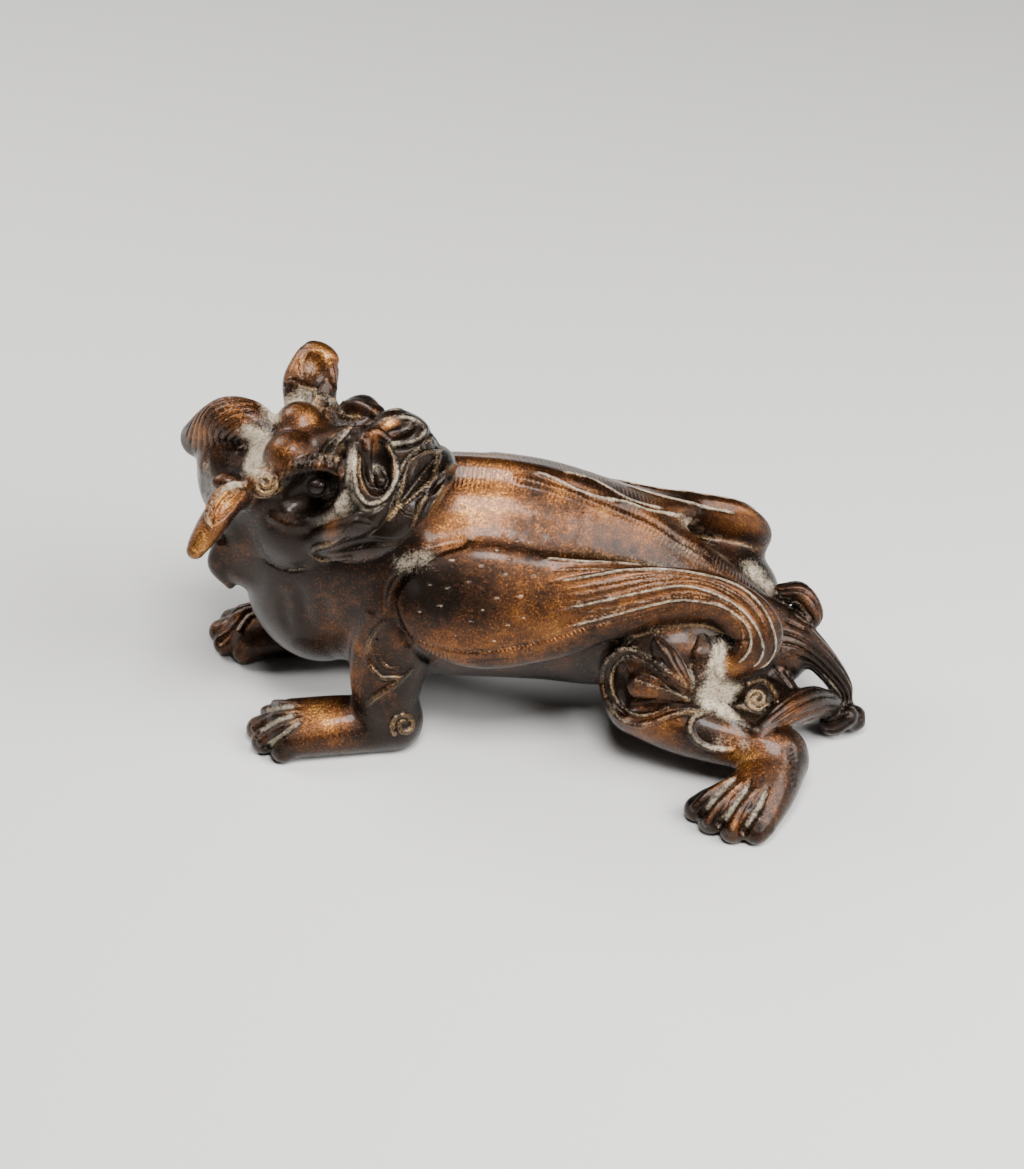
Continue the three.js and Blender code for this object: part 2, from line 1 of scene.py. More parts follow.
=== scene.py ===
import math
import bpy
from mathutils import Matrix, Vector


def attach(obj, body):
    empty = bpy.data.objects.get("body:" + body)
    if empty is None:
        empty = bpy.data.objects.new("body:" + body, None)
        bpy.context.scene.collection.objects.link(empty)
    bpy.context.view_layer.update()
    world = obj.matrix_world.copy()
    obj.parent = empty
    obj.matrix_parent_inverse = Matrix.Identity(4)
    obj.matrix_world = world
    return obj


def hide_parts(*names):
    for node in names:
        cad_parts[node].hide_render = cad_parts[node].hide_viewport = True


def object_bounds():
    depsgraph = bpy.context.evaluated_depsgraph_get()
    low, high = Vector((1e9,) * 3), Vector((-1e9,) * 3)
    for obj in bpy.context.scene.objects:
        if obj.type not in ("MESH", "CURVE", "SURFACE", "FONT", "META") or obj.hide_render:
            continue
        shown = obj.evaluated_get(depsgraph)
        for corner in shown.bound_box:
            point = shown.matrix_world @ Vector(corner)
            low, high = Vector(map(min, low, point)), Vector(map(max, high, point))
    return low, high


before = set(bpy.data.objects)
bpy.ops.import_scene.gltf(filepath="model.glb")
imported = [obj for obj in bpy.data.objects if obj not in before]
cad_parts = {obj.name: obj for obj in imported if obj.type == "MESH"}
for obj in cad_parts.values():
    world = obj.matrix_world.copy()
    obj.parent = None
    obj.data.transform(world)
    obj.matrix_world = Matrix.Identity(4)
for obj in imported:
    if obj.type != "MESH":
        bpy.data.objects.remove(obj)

from concurrent.futures import ThreadPoolExecutor

import bpy
import numpy as np

# A small bronze pixiu, cast in one piece and chased. It is laid out in millimetres on the same grid
# as its solid: the chest towards -X, the tail towards +X, and the head turned towards -Y.

cadLow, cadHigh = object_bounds()
figure = {
    "cell": 0.3,            # the grid on which its skin is found
    "triangles": 196000,
    "gridMiddle": np.array((0.04, 2.21, 0.0)),     # the place on the grid that lies over the origin
    "millimetre": 0.001,
}
print("frame loaded, its box is", [round(v, 4) for v in (*cadLow, *cadHigh)])


# The lower of two distances, rounded where they meet: min(a, b) - h²k/4 with h = max(k - |a - b|, 0) / k
def smoothMin(a, b, k):
    h = np.maximum(k - np.abs(a - b), 0) / k
    return np.minimum(a, b) - h * h * k * 0.25


# 0 below the first value, 1 above the second, 3t² - 2t³ between them
def ease(value, start, end):
    t = np.clip((value - start) / (end - start), 0, 1)
    return t * t * (3 - 2 * t)


def unit(vectors):
    return vectors / (np.linalg.norm(vectors, axis=-1, keepdims=True) + 1e-12)


# A smooth curve through rows of numbers. Between rows 1 and 2 it is
# (2p1 + (p2 - p0)t + (2p0 - 5p1 + 4p2 - p3)t² + (3p1 - p0 - 3p2 + p3)t³) / 2
def smoothRows(rows, count):
    rows = np.asarray(rows, float)
    padded = np.vstack([2 * rows[0] - rows[1], rows, 2 * rows[-1] - rows[-2]])
    place = np.linspace(0, len(rows) - 1, count)
    first = np.minimum(place.astype(int), len(rows) - 2)
    t = (place - first)[:, None]
    p0, p1, p2, p3 = (padded[first + k] for k in range(4))
    return 0.5 * (2 * p1 + (p2 - p0) * t + (2 * p0 - 5 * p1 + 4 * p2 - p3) * t ** 2
                  + (3 * p1 - p0 - 3 * p2 + p3) * t ** 3)


# Where each point lies beside a path: the index along it, as a number with a fraction. The nearest
# corner of the path has the greatest p . q - |q|² / 2, and the two stretches beside it are tried.
def nearestOnPath(points, path):
    corner = np.argmax(points @ path.T - 0.5 * np.sum(path * path, axis=1), axis=1)
    steps = np.diff(path, axis=0)
    best, where = np.full(len(points), np.inf), np.zeros(len(points))
    for shift in (-1, 0):
        first = np.clip(corner + shift, 0, len(path) - 2)
        offset, step = points - path[first], steps[first]
        share = np.einsum("ij,ij->i", offset, step) / (np.einsum("ij,ij->i", step, step) + 1e-12)
        share = np.clip(share, 0, 1)
        offset -= share[:, None] * step
        reach = np.einsum("ij,ij->i", offset, offset)
        nearer = reach < best
        best[nearer] = reach[nearer]
        where[nearer] = (first + share)[nearer]
    return where


# Rows taken between their own indices
def between(rows, where):
    first = np.minimum(where.astype(int), len(rows) - 2)
    share = (where - first).reshape(-1, *[1] * (rows.ndim - 1))
    return rows[first] * (1 - share) + rows[first + 1] * share


class OvalTube:
    # A tube of oval section. Its rows are x, y, z, half width, half height, and side is the way of
    # the width, or one way for each row. With k = |(x/a, y/b, z/c)| and g = |(x/a², y/b², z/c²)|
    # beside the nearest place of its path, the distance is k(k - 1) / g.
    def __init__(self, rows, side=(0, 1, 0), blend=1.5, blendUp=0, free=99, steps=6):
        rows = np.array([[*row, row[3]][:5] for row in rows], float)
        count = steps * (len(rows) - 1) + 1
        fine = smoothRows(rows, count)
        self.path, self.width, self.height = fine[:, :3], fine[:, 3], fine[:, 4]
        self.along = unit(np.gradient(self.path, axis=0))
        side = np.asarray(side, float)
        side = smoothRows(side, count) if side.ndim == 2 else np.tile(side, (count, 1))
        self.across = unit(side - self.along * np.sum(side * self.along, 1, keepdims=True))
        self.up = np.cross(self.along, self.across)
        self.blend, self.blendUp, self.free, self.steps = blend, blendUp, free, steps
        reach = fine[:, 3:].max()
        self.low, self.high = self.path.min(0) - reach, self.path.max(0) + reach

    # index of the row, place across and up in millimetres, half width and half height there
    def locate(self, points):
        where = nearestOnPath(points, self.path)
        offset = points - between(self.path, where)
        x, y, z = (np.einsum("ij,ij->i", offset, between(way, where))
                   for way in (self.across, self.up, self.along))
        return where / self.steps, x, y, z, between(self.width, where), between(self.height, where)

    def distance(self, points):
        place, x, y, z, a, b = self.locate(points)
        c = np.minimum(a, b)
        reach = np.linalg.norm(points - between(self.path, place * self.steps), axis=1)
        k = np.sqrt((x / a) ** 2 + (y / b) ** 2 + (z / c) ** 2)
        k = np.maximum(k, reach / np.maximum(a, b))  # holds where the path turns on the spot
        g = np.sqrt((x / a ** 2) ** 2 + (y / b ** 2) ** 2 + (z / c ** 2) ** 2) + 1e-9
        blend = self.blend
        if self.blendUp:                           # softer where it grows out of the body, up to a free end
            grown = ease(-x / a, -0.2, 0.7) * (1 - ease(place, self.free, self.free + 1.5))
            blend = self.blend + (self.blendUp - self.blend) * grown - 0.5 * ease(place, self.free, self.free + 1.5)
        return np.maximum(k * (k - 1) / g, -c), blend


class Egg:
    # An egg shape with three radii along three ways, its distance worked out as a tube's is
    def __init__(self, centre, radii, ways=None, blend=1.5):
        self.centre = np.asarray(centre, float)
        self.radii = np.ones(3) * radii
        self.ways = np.eye(3) if ways is None else unit(np.asarray(ways, float))
        self.blend, self.blendUp = blend, 0
        self.low, self.high = self.centre - self.radii.max(), self.centre + self.radii.max()

    def distance(self, points):
        q = (points - self.centre) @ self.ways.T
        k = np.linalg.norm(q / self.radii, axis=1)
        g = np.linalg.norm(q / self.radii ** 2, axis=1) + 1e-9
        return np.maximum(k * (k - 1) / g, -self.radii.min()), self.blend


class Form:
    # One mass of the figure: added to what is there, or cut from it
    def __init__(self, shape, cut=False):
        self.shape, self.cut = shape, cut

    def join(self, value, points):
        distance, blend = self.shape.distance(points)
        if self.cut:
            return -smoothMin(-value, distance, blend)
        return smoothMin(value, distance, blend)


forms = []


def tube(rows, side=(0, 1, 0), cut=False, **more):
    shape = OvalTube(rows, side, **more)
    forms.append(Form(shape, cut))
    return shape


def egg(centre, radii, ways=None, cut=False, **more):
    shape = Egg(centre, radii, ways, **more)
    forms.append(Form(shape, cut))
    return shape


# The distance from each point to the bronze, below 0 inside it, right up to a reach. A form counts as
# far as its blend goes beyond that.
def bronze(points, reach=1.0):
    low, high = points.min(0), points.max(0)
    value = np.full(len(points), 99.0)
    for form in forms:
        shape = form.shape
        margin = reach + max(shape.blend, shape.blendUp)
        if np.any(shape.low - margin > high) or np.any(shape.high + margin < low):
            continue
        near = np.flatnonzero(np.all((points > shape.low - margin) & (points < shape.high + margin), axis=1))
        if len(near):
            value[near] = form.join(value[near], points[near])
    return np.minimum(np.maximum(value, -points[:, 2]), reach)          # cut flat at the ground


# The same work on many points, sorted into blocks of space and done in pieces side by side
def everywhere(work, points, block=6.0, piece=6000):
    x, y, z = np.floor(points / block).astype(int).T
    order = np.lexsort((z, y, x))
    pieces = [points[order[i:i + piece]] for i in range(0, len(points), piece)]
    with ThreadPoolExecutor(4) as pool:
        done = np.concatenate(list(pool.map(work, pieces)))
    value = np.empty_like(done)
    value[order] = done
    return value


fourCorners = np.array([(1, -1, -1), (-1, -1, 1), (-1, 1, -1), (1, 1, 1)], float)


# The distance and its slope, from four points set round each one
def slope(points, reach=1.0, step=0.06):
    values = [everywhere(lambda p: bronze(p, reach), points + step * corner) for corner in fourCorners]
    gradient = sum(value[:, None] * corner for value, corner in zip(values, fourCorners)) / (4 * step)
    return sum(values) / 4, gradient


# Points drawn onto the skin: each goes against the slope by distance / |slope|, a step at a time
def onSkin(points, rounds=10, reach=12.0, limit=2.0):
    points = np.array(points, float)
    for _ in range(rounds):
        value, gradient = slope(points, reach)
        size = np.maximum(np.linalg.norm(gradient, axis=1), 0.3)
        points -= gradient * np.clip(value / size, -limit, limit)[:, None] / size[:, None]
    points[:, 2] = np.maximum(points[:, 2], 0)
    return points


bothSides = (-1, 1)                                 # left, right


def mirrored(row, s):
    return (row[0], row[1] * s, *row[2:])


# The trunk: deep chest, arched back, low rump, a ridge along the spine, and the neck
trunk = {
    "rows": [(-38, 7, 25, 12, 15), (-26, 7, 29, 15, 21), (-10, 7, 29.5, 15.5, 22.2), (4, 6, 28, 14.5, 21.2),
             (16, 5, 24.5, 13, 19), (28, 4, 20.2, 12, 14.6), (38, 3, 16.5, 11, 10), (45, 3, 14.5, 8.5, 7.2)],
    "spine": [(-20, 50.2), (-10, 51.3), (4, 49.2), (16, 43.6), (28, 34.8), (38, 27), (46, 21.6)],
    "spineRadius": 1.6,
    "neck": [(-24, 7, 34, 15), (-36, 8, 35.5, 13.6), (-43, 10, 40, 11.5), (-46, 11.5, 44, 10)],
}


# The middle line of the body, seen from above
def bodyMiddle(x):
    return np.interp(x, (-40, 0, 45), (7.0, 6.0, 3.0))


def makeTrunk():
    tube(trunk["rows"], blend=4)
    spine = [(x, bodyMiddle(x), z, trunk["spineRadius"] - 0.05 * i) for i, (x, z) in enumerate(trunk["spine"])]
    tube(spine, blend=3)
    tube(trunk["neck"], blend=4)
    return spine


# The head has ways of its own: forward along the muzzle, sideways (left is below 0) and up
head = {
    "centre": np.array((-38, 6, 50.3)),
    "forward": (0.66, -0.54, 0.52),
    "sideways": (0.49, 0.83, 0.25),
}
headForward = unit(np.array(head["forward"]))
headSideways = np.array(head["sideways"])
headSideways = unit(headSideways - headForward * (headForward @ headSideways))
headWays = np.array((headForward, headSideways, np.cross(headForward, headSideways)))


def headPoint(point):
    return head["centre"] + np.asarray(point, float) @ headWays


def headTube(rows, side=(0, 1, 0), **more):
    rows = [(*headPoint(row[:3]), *row[3:]) for row in rows]
    return tube(rows, np.asarray(side, float) @ headWays, **more)


def headEgg(centre, radii, ways=None, **more):
    ways = headWays if ways is None else np.asarray(ways, float) @ headWays
    return egg(headPoint(centre), radii, ways, **more)


# Under the details: a dome with cheeks, bumps over the eyes, a muzzle with its bridge, nape and throat
skull = {
    "dome": ((-5, 0, 0), (14, 12.5, 10.5)),         # the middle, then the three radii
    "cheek": ((-3, 8.8, -5.6), (7.8, 5.8, 7.4)),
    "leftBump": ((4.0, -3.6, 6.6), (4.8, 4.2, 4.4)),
    "rightBump": ((1.2, 4.0, 7.6), (4.6, 4.0, 4.2)),
    "rightBrow": [(6, 9, 3.6, 2.6), (11, 9.6, 4.2, 2.7), (15.5, 8, 3.6, 1.8)],
    "muzzle": [(6, 0, -1, 10.5, 8), (14, 0, -2, 10, 7), (20, 0, -3, 9, 5)],
    "bridge": [(8, 0, 4, 3.2, 3), (15, 0, 4.2, 2.8), (21, 0, 2.6, 3, 2.6)],
    "nape": [(-14, 0, 6, 8), (-19, 0, 0, 8), (-21, -2, -8, 6)],
    "throat": [(-48.5, 5, 38, 5.5), (-50.6, 4.5, 32.5, 4.4)],
    "tuft": [(-53.6, 2.6, 37.5, 1.7), (-54.8, 2.5, 33, 1.8), (-52.8, 2.2, 28.6, 0.8)],
}


def makeSkull():
    headEgg(*skull["dome"], blend=3)
    for s in bothSides:
        headEgg(mirrored(skull["cheek"][0], s), skull["cheek"][1], blend=1.2)
    headEgg(*skull["leftBump"], blend=1.8)
    headEgg(*skull["rightBump"], blend=1.8)
    for part, blend in (("rightBrow", 1.5), ("muzzle", 2), ("bridge", 1.5), ("nape", 2)):
        headTube(skull[part], blend=blend)
    tube(skull["throat"], blend=3)
    tube(skull["tuft"], blend=1)


mouth = {
    "upperLip": [(5, -10.4, -6, 0.9), (12, -11.4, -5.4, 1.7), (19, -10.5, -5.2, 2.2), (22.8, -5.5, -4.2, 2.2),
                 (24, 0, -3.8, 2.2), (22.8, 5.5, -4.6, 2.2), (18, 10, -6, 2.2), (11, 12, -7, 2), (4, 12.4, -7, 1.8)],
    "lowerLip": [(4.5, -10.6, -9.2, 1.3), (12, -11.5, -10.2, 2.2), (19.2, -10, -9.8, 2.7), (23.6, -5.5, -8.8, 2.7),
                 (25, 0, -8.4, 2.7), (23.6, 5.5, -8.8, 2.7), (18.6, 10, -9.4, 2.7), (12, 12, -10, 2.4),
                 (4, 12.2, -9.4, 2)],
    "corner": [(1.5, -9.4, -6.6, 2.6), (6.5, -10.7, -7.9, 2.4), (12.5, -11.2, -7.8, 1.8), (18, -9.8, -7.2, 1.3)],
    "jaw": [(0, 0, -8, 7, 4.4), (8, 0, -9.2, 10, 4.8), (17, 0, -9.4, 9.6, 4.4), (22, 0, -9.2, 7.6, 3.8)],
}


def makeMouth():
    headTube(mouth["upperLip"], (0, 0, 1), blend=1)
    headTube(mouth["jaw"], blend=2)
    headTube(mouth["lowerLip"], (0, 0, 1), blend=1)
    for s in bothSides:
        headTube([mirrored(row, s) for row in mouth["corner"]], blend=1.2)


nostrils = {
    "left": {"s": -1, "centre": (23, -5, 1.4), "reach": 6.4},
    "right": {"s": 1, "centre": (22, 5.2, 0.4), "reach": 6.0},
    "width": 0.68,                                  # as a share of the reach
    "height": 0.62,
    "long": (0.1, -0.69, 0.71),                     # ways in the head's own directions, for the right one
    "facing": (0.76, 0.5, 0.41),
}


# A nostril swells as a slanted egg, high at the nose and low towards the cheek
def makeNostril(values):
    s, reach = values["s"], values["reach"]
    long = unit(np.array(mirrored(nostrils["long"], s)))
    facing = np.array(mirrored(nostrils["facing"], s))
    facing = unit(facing - long * (facing @ long))
    radii = (reach, reach * nostrils["width"], reach * nostrils["height"])
    headEgg(values["centre"], radii, (long, np.cross(facing, long), facing), blend=1)


ears = {
    "left": [(-4.2, -10.4, 5.7, 3.2, 2.4), (-5.5, -13.5, 6.2, 3.6, 2.5), (-6.8, -17.5, 5.6, 3.4, 2.5),
             (-8.2, -21.5, 4.6, 2.6, 2), (-8.6, -23, 4.2, 1.8, 1.6)],
    "right": [(-1, 10, 7.5, 4.6, 3.2), (-1, 12.6, 9.8, 4.9, 3), (-0.6, 14.8, 11.0, 4.6, 2.8),
              (-0.1, 16.6, 11.9, 4.1, 2.4), (0.3, 17.7, 12.3, 3.5, 2.1)],
    "leftSide": (1, 0, 0.3),
    "rightSide": (0.66, 0.49, -0.57),
    "lock": ((-6.8, -10.1, 8.2), (2.9, 1.9, 2.4)),
    "lockWays": ((0.66, 0.49, -0.57), (0.10, 0.69, 0.71), (0.74, -0.53, 0.41)),
}


# Thick leaf ears, the left one drooping and the right one standing
def makeEars():
    headTube(ears["left"], ears["leftSide"], blend=0.8)
    headTube(ears["right"], ears["rightSide"], blend=0.8)
    headEgg(*ears["lock"], ears["lockWays"], blend=0.5)


horn = {
    "radius": 4.1,
    "line": [(-3.5, 0.5, 8.5, 0.7), (-4.7, 0.5, 12.4, 0.9), (-8.5, 0, 14.4, 1), (-13.5, 0, 13.7, 1),
             (-20.3, 0, 12, 0.86)],
}


# One thick horn rises from the crown and lies back over the nape
def makeHorn():
    return headTube([(*row[:3], horn["radius"] * row[3]) for row in horn["line"]], blend=1.2)


# Each wing grows from the shoulder as a broad lobe, sweeps back along the flank and curls under
wing = {
    "rows": [(-17, 15.5, 33, 9, 3.2), (-8, 16.6, 32.5, 11, 3.6), (3, 16.3, 32.5, 9.5, 3.2), (14, 15, 33.6, 7.2, 2.8),
             (24, 13.6, 34.6, 5.2, 2.5), (32, 13.6, 34.6, 4.6, 2.4), (38, 14.8, 32.2, 4.6, 2.4),
             (41, 16.2, 28.5, 4.3, 2.3), (39.3, 17.6, 24.8, 3.7, 2.2), (36.8, 18.2, 23.2, 2.6, 2)],
    "cover": [(-5, 11.2, 48.6, 3, 1), (4, 11.2, 46.9, 4, 1.5), (14, 11.2, 43, 4.8, 1.9), (22, 11.5, 39.8, 4.6, 2),
              (29, 13, 37.6, 3, 1.8)],
    "sides": [*[(0, 0.32, -0.95)] * 5, (0.1, 0.3, -0.95), (-0.5, 0.2, -0.85), (-0.98, 0.1, -0.1), (-0.5, 0.1, 0.85),
              (-0.2, 0, 1)],
    "coverSide": (0, 0.9, -0.42),
    "rightInset": 1.6,                              # the far wing lies closer to the body at the back
    "insetRun": (5, 25),                            # from this X on, growing over this length
}


def makeWing(s):
    rows = []
    for x, out, z, wide, thick in wing["rows"]:
        start, length = wing["insetRun"]
        inset = wing["rightInset"] * min(max((x - start) / length, 0), 1) if s > 0 else 0
        rows.append((x, bodyMiddle(x) + s * (out - inset), z, wide, thick))
    return tube(rows, [mirrored(side, s) for side in wing["sides"]], blend=1.2, blendUp=5, free=4.5)


# The far wing covers the back up to the spine, where it hides the flank behind
def makeCover():
    tube(wing["cover"], wing["coverSide"], blend=2.5)


paw = {
    "toeRadius": 2.5,
    "toeArch": 0.5,
    "footSink": 0.9,                                # how far a foot reaches below the ground before the cut
}


# A foot spreads from the heel into a pad with four arched toes
def makeFoot(pad, padSide, knuckle, claws):
    sink, radius = paw["footSink"], paw["toeRadius"]
    tube([(x, y, z - sink / 2, wide, tall + sink / 2) for x, y, z, wide, tall in pad], padSide, blend=1.5)
    for claw in claws:
        shares, rises, sizes = (0.4, 0.75, 1), (0, paw["toeArch"], -sink / 4), (0.9, 1, 0.94)
        tube([(*(np.multiply(knuckle, 1 - t) + np.multiply(claw, t) + (0, 0, rise)), radius * size)
              for t, rise, size in zip(shares, rises, sizes)], blend=0.8)


forelegs = {
    "left": [(-21, -2, 28, 9.5), (-24, -4.5, 18, 7.4), (-25, -6.5, 11, 6.2), (-24, -7, 6, 5.4)],
    "right": [(-26, 16, 28, 9), (-30, 18.5, 18, 7.2), (-33, 20.5, 11, 6.2), (-33, 22, 6, 5.4)],
    "pad": [(-23.5, -7, 4.6, 4.8, 4.6), (-33, -7.6, 4.8, 5.7, 4.8), (-42, -7.8, 4.2, 6.6, 4.2)],
    "knuckle": (-36, -7.6, 4.6),
    "claws": [(-46.5, -2.6, 2.4), (-48.3, -6, 2.4), (-47.2, -9.6, 2.4), (-43.5, -12.2, 2.4)],
    "rightShift": (-9, 29.5),
}


def makeForelegs():
    legs = []
    for leg, (dx, dy) in ((forelegs["left"], (0, 0)), (forelegs["right"], forelegs["rightShift"])):
        legs.append(tube(leg, blend=3))
        pad, claws, knuckle = ([(row[0] + dx, row[1] + dy, *row[2:]) for row in rows]
                               for rows in (forelegs["pad"], forelegs["claws"], [forelegs["knuckle"]]))
        makeFoot(pad, (0, 1, 0), knuckle[0], claws)
    return legs


hindlegs = {
    "leftHaunch": (27.6, -8.5, 18),
    "rightHaunch": (33, 13.5, 18),
    "haunchRadii": (13.8, 8.5, 11.5),
    "leftShank": [(21, -11, 13, 6.8), (28, -14.5, 10.5, 5.8), (36, -17.5, 9.3, 5), (45, -19.5, 8, 4.6)],
    "rightShank": [(22, 16, 13, 7.2), (30, 20, 10, 6), (37, 23, 9, 5), (44, 25, 8, 4.4)],
    "leftPad": [(45.5, -20, 6.5, 5, 5), (42, -26, 5, 6, 4.4), (38, -30.5, 3.6, 7.2, 3.2)],
    "rightPad": [(44.5, 25.5, 6.2, 4.8, 4.8), (40, 30, 5, 5.8, 4.2), (35, 33.5, 3.6, 7, 3.2)],
    "leftPadSide": (0.88, -0.45, 0),
    "rightPadSide": (0.7, 0.7, 0),
    "leftKnuckle": (41.5, -26, 4.8),
    "rightKnuckle": (39.5, 30, 4.8),
    "leftClaws": [(30.3, -28.5, 2.3), (32.6, -31.8, 2.3), (36.3, -34.3, 2.3), (40.3, -34.8, 2.4)],
    "rightClaws": [(28.3, 31.8, 2.3), (29.6, 35.4, 2.3), (32.6, 38.2, 2.3), (36.4, 39.2, 2.4)],
    "leftHip": (42, -9.5, 10.5),
    "rightHip": (41, 15.5, 10.5),
    "hipRadii": (6.5, 5.5, 4.8),
}


def makeHindlegs():
    egg(hindlegs["leftHip"], hindlegs["hipRadii"], blend=2.5)
    egg(hindlegs["rightHip"], hindlegs["hipRadii"], blend=2.5)
    egg(hindlegs["leftHaunch"], hindlegs["haunchRadii"], blend=3)
    tube(hindlegs["leftShank"], blend=2.5)
    makeFoot(*(hindlegs["left" + part] for part in ("Pad", "PadSide", "Knuckle", "Claws")))
    egg(hindlegs["rightHaunch"], hindlegs["haunchRadii"], blend=3)
    tube(hindlegs["rightShank"], blend=2.5)
    makeFoot(*(hindlegs["right" + part] for part in ("Pad", "PadSide", "Knuckle", "Claws")))


tail = {
    "knob": ((60, -4, 3), (2.3, 2.3, 2.6)),
    "bundle": [(44, 3, 19, 5.5, 3.5), (49, 2, 17.5, 5, 3), (54, 1, 12.5, 3.4, 2.6), (57.5, 0, 7.5, 2.6, 2.2),
               (57.5, -1, 4, 2.2)],
    "hook": [(57.5, -1, 4, 2.4), (56, -5, 3, 2.6), (58.5, -6, 5, 2)],
    "nearLock": [(54.5, -5.5, 7.6, 2.6), (51, -9, 10.4, 3.2, 3), (46.5, -14, 12.2, 3.1, 2.6),
                 (41, -19.5, 12.2, 1.7, 1.5)],
    "strand": [(42.5, -2.5, 15.5, 2), (46.5, -6.5, 12.5, 2.1), (49.5, -10.5, 9, 1.9)],
    "farCurl": [(49, 5, 17, 2.3), (52, 6, 19, 2.3), (50, 7.5, 22.5, 2.3), (46.8, 8, 22.5, 1.84)],
}


# A grooved bundle drops from the rump to a knot, and its locks part and curl
def makeTail():
    egg(*tail["knob"], blend=0.8)
    return {
        "bundle": tube(tail["bundle"], blend=1.5),
        "hook": tube(tail["hook"], (0, 0, 1), blend=0.8),
        "nearLock": tube(tail["nearLock"], (0, 0, 1), blend=0.8),
        "strand": tube(tail["strand"], blend=0.8),
        "farCurl": tube(tail["farCurl"], blend=0.6),
    }


spineRows = makeTrunk()
makeSkull()
makeMouth()
makeNostril(nostrils["left"])
makeNostril(nostrils["right"])
makeEars()
hornTube = makeHorn()
leftWing, rightWing = (makeWing(s) for s in bothSides)
makeCover()
leftForeleg, rightForeleg = makeForelegs()
makeHindlegs()
tailTubes = makeTail()
print("main forms laid out:", len(forms))


# The carving is drawn as it shows in the photo: each line is a list of pixels of the picture, thrown
# from the camera's place onto the figure. Every width, height and depth is in millimetres.
picture = {
    "pixels": (1024, 1169),
    "lens": 100,
    "sensor": 36,                                   # across the picture's longer side
    "lookAt": (-2.3, 5.0, 26.6),
    "elevation": math.radians(36),
    "distance": 585,
    "depth": 75.0,                                  # the figure lies within this of the point looked at
}
viewForward = np.array((0, math.cos(picture["elevation"]), -math.sin(picture["elevation"])))
viewUp = np.array((0, math.sin(picture["elevation"]), math.cos(picture["elevation"])))
cameraPlace = np.array(picture["lookAt"]) - viewForward * picture["distance"]
pixelSize = picture["sensor"] * picture["distance"] / (picture["lens"] * picture["pixels"][1])


# Pixels thrown onto the skin. Each ray steps on by the distance to the bronze until it touches.
def press(pixels):
    offset = (np.asarray(pixels, float) - np.array(picture["pixels"]) / 2) * pixelSize
    right, up = np.outer(offset[:, 0], (1, 0, 0)), np.outer(offset[:, 1], viewUp)
    ways = unit(viewForward * picture["distance"] + right - up)
    reach = np.full(len(ways), picture["distance"] - picture["depth"])
    for _ in range(40):
        value = bronze(cameraPlace + ways * reach[:, None], 10)
        reach += value * 0.88
    return cameraPlace + ways * reach[:, None], (value < 0.3) & (reach < picture["distance"] + picture["depth"])


def splitLike(points, lines):
    return np.split(points, np.cumsum([len(line) for line in lines])[:-1])


# Lines through a few pixels each, thrown together, as points on the skin about a millimetre apart
def pressLines(lines, apart=1.0):
    drawn = []
    for pixels in lines:
        length = np.linalg.norm(np.diff(pixels, axis=0), axis=1).sum() * pixelSize
        drawn.append(smoothRows(pixels, max(int(length / apart), 3) + 1))
    points, touched = press(np.vstack(drawn))
    return [line[good] for line, good in zip(splitLike(points, drawn), splitLike(touched, drawn))]


# Points carried to the other side of the figure and put back onto the skin
def flipHead(points):
    inHead = (points - head["centre"]) @ headWays.T
    return onSkin(headPoint(inHead * (1, -1, 1)))


def flipHaunch(points):
    left, right = np.array(hindlegs["leftHaunch"]), np.array(hindlegs["rightHaunch"])
    return onSkin((points - left) * (1, -1, 1) + right)


def flipTube(start, end):
    def flip(points):
        place, x, y, z, a, b = start.locate(points)
        where = place * start.steps
        across, up = x * between(end.width, where) / a, y * between(end.height, where) / b
        return onSkin(between(end.path, where) + between(end.across, where) * across[:, None]
                      - between(end.up, where) * up[:, None])
    return flip


# The wing's ways follow its side already, the leg's do not
def flipForeleg(points):
    place, x, y, z, a, b = leftForeleg.locate(points)
    where = place * leftForeleg.steps
    return onSkin(between(rightForeleg.path, where) - between(rightForeleg.across, where) * x[:, None]
                  + between(rightForeleg.up, where) * y[:, None])


flipWing = flipTube(leftWing, rightWing)


# Ropes of metal laid on lines of the skin, or grooves of the same section. Each has a radius that
# runs through the values given along it, stands out by the lift as a share of its radius, and flat is
# its height as a share of its width. A row may hold values of its own that differ from the part's.
# All ropes of a part are thrown onto the skin first, then added.
def layRopes(part, flip=None, **shared):
    lines = pressLines([np.asarray(row[0], float) for row in part.values()])
    rows = [(line, row[1], {**shared, **dict(*row[2:])}) for line, row in zip(lines, part.values()) if len(line) > 2]
    both = [row for row in rows if row[2].get("both")]
    if both:
        flipped = splitLike(flip(np.vstack([row[0] for row in both])), [row[0] for row in both])
        rows += [(line, *row[1:]) for line, row in zip(flipped, both)]
    normals = splitLike(unit(slope(np.vstack([row[0] for row in rows]))[1]), [row[0] for row in rows])
    for (points, radii, more), normal in zip(rows, normals):
        flat = more.get("flat", 1.0)
        radius = np.interp(np.linspace(0, 1, len(points)), np.linspace(0, 1, len(radii)), radii)
        middle = points + normal * ((more.get("lift", 0.4) - 1) * radius * flat)[:, None]
        tube(np.column_stack([middle, radius, radius * flat]), np.cross(np.gradient(points, axis=0), normal),
             blend=more.get("blend", 0.4), cut=more.get("cut", False), steps=1)


def curlPixels(centre, outer, turns, start, side=1):
    angle = np.linspace(0, turns * 2 * math.pi, round(turns * 12) + 1)
    reach = outer * (1 - 0.78 * angle / angle[-1])
    angle = start + side * angle
    return np.column_stack([centre[0] + reach * np.cos(angle), centre[1] + reach * np.sin(angle)])


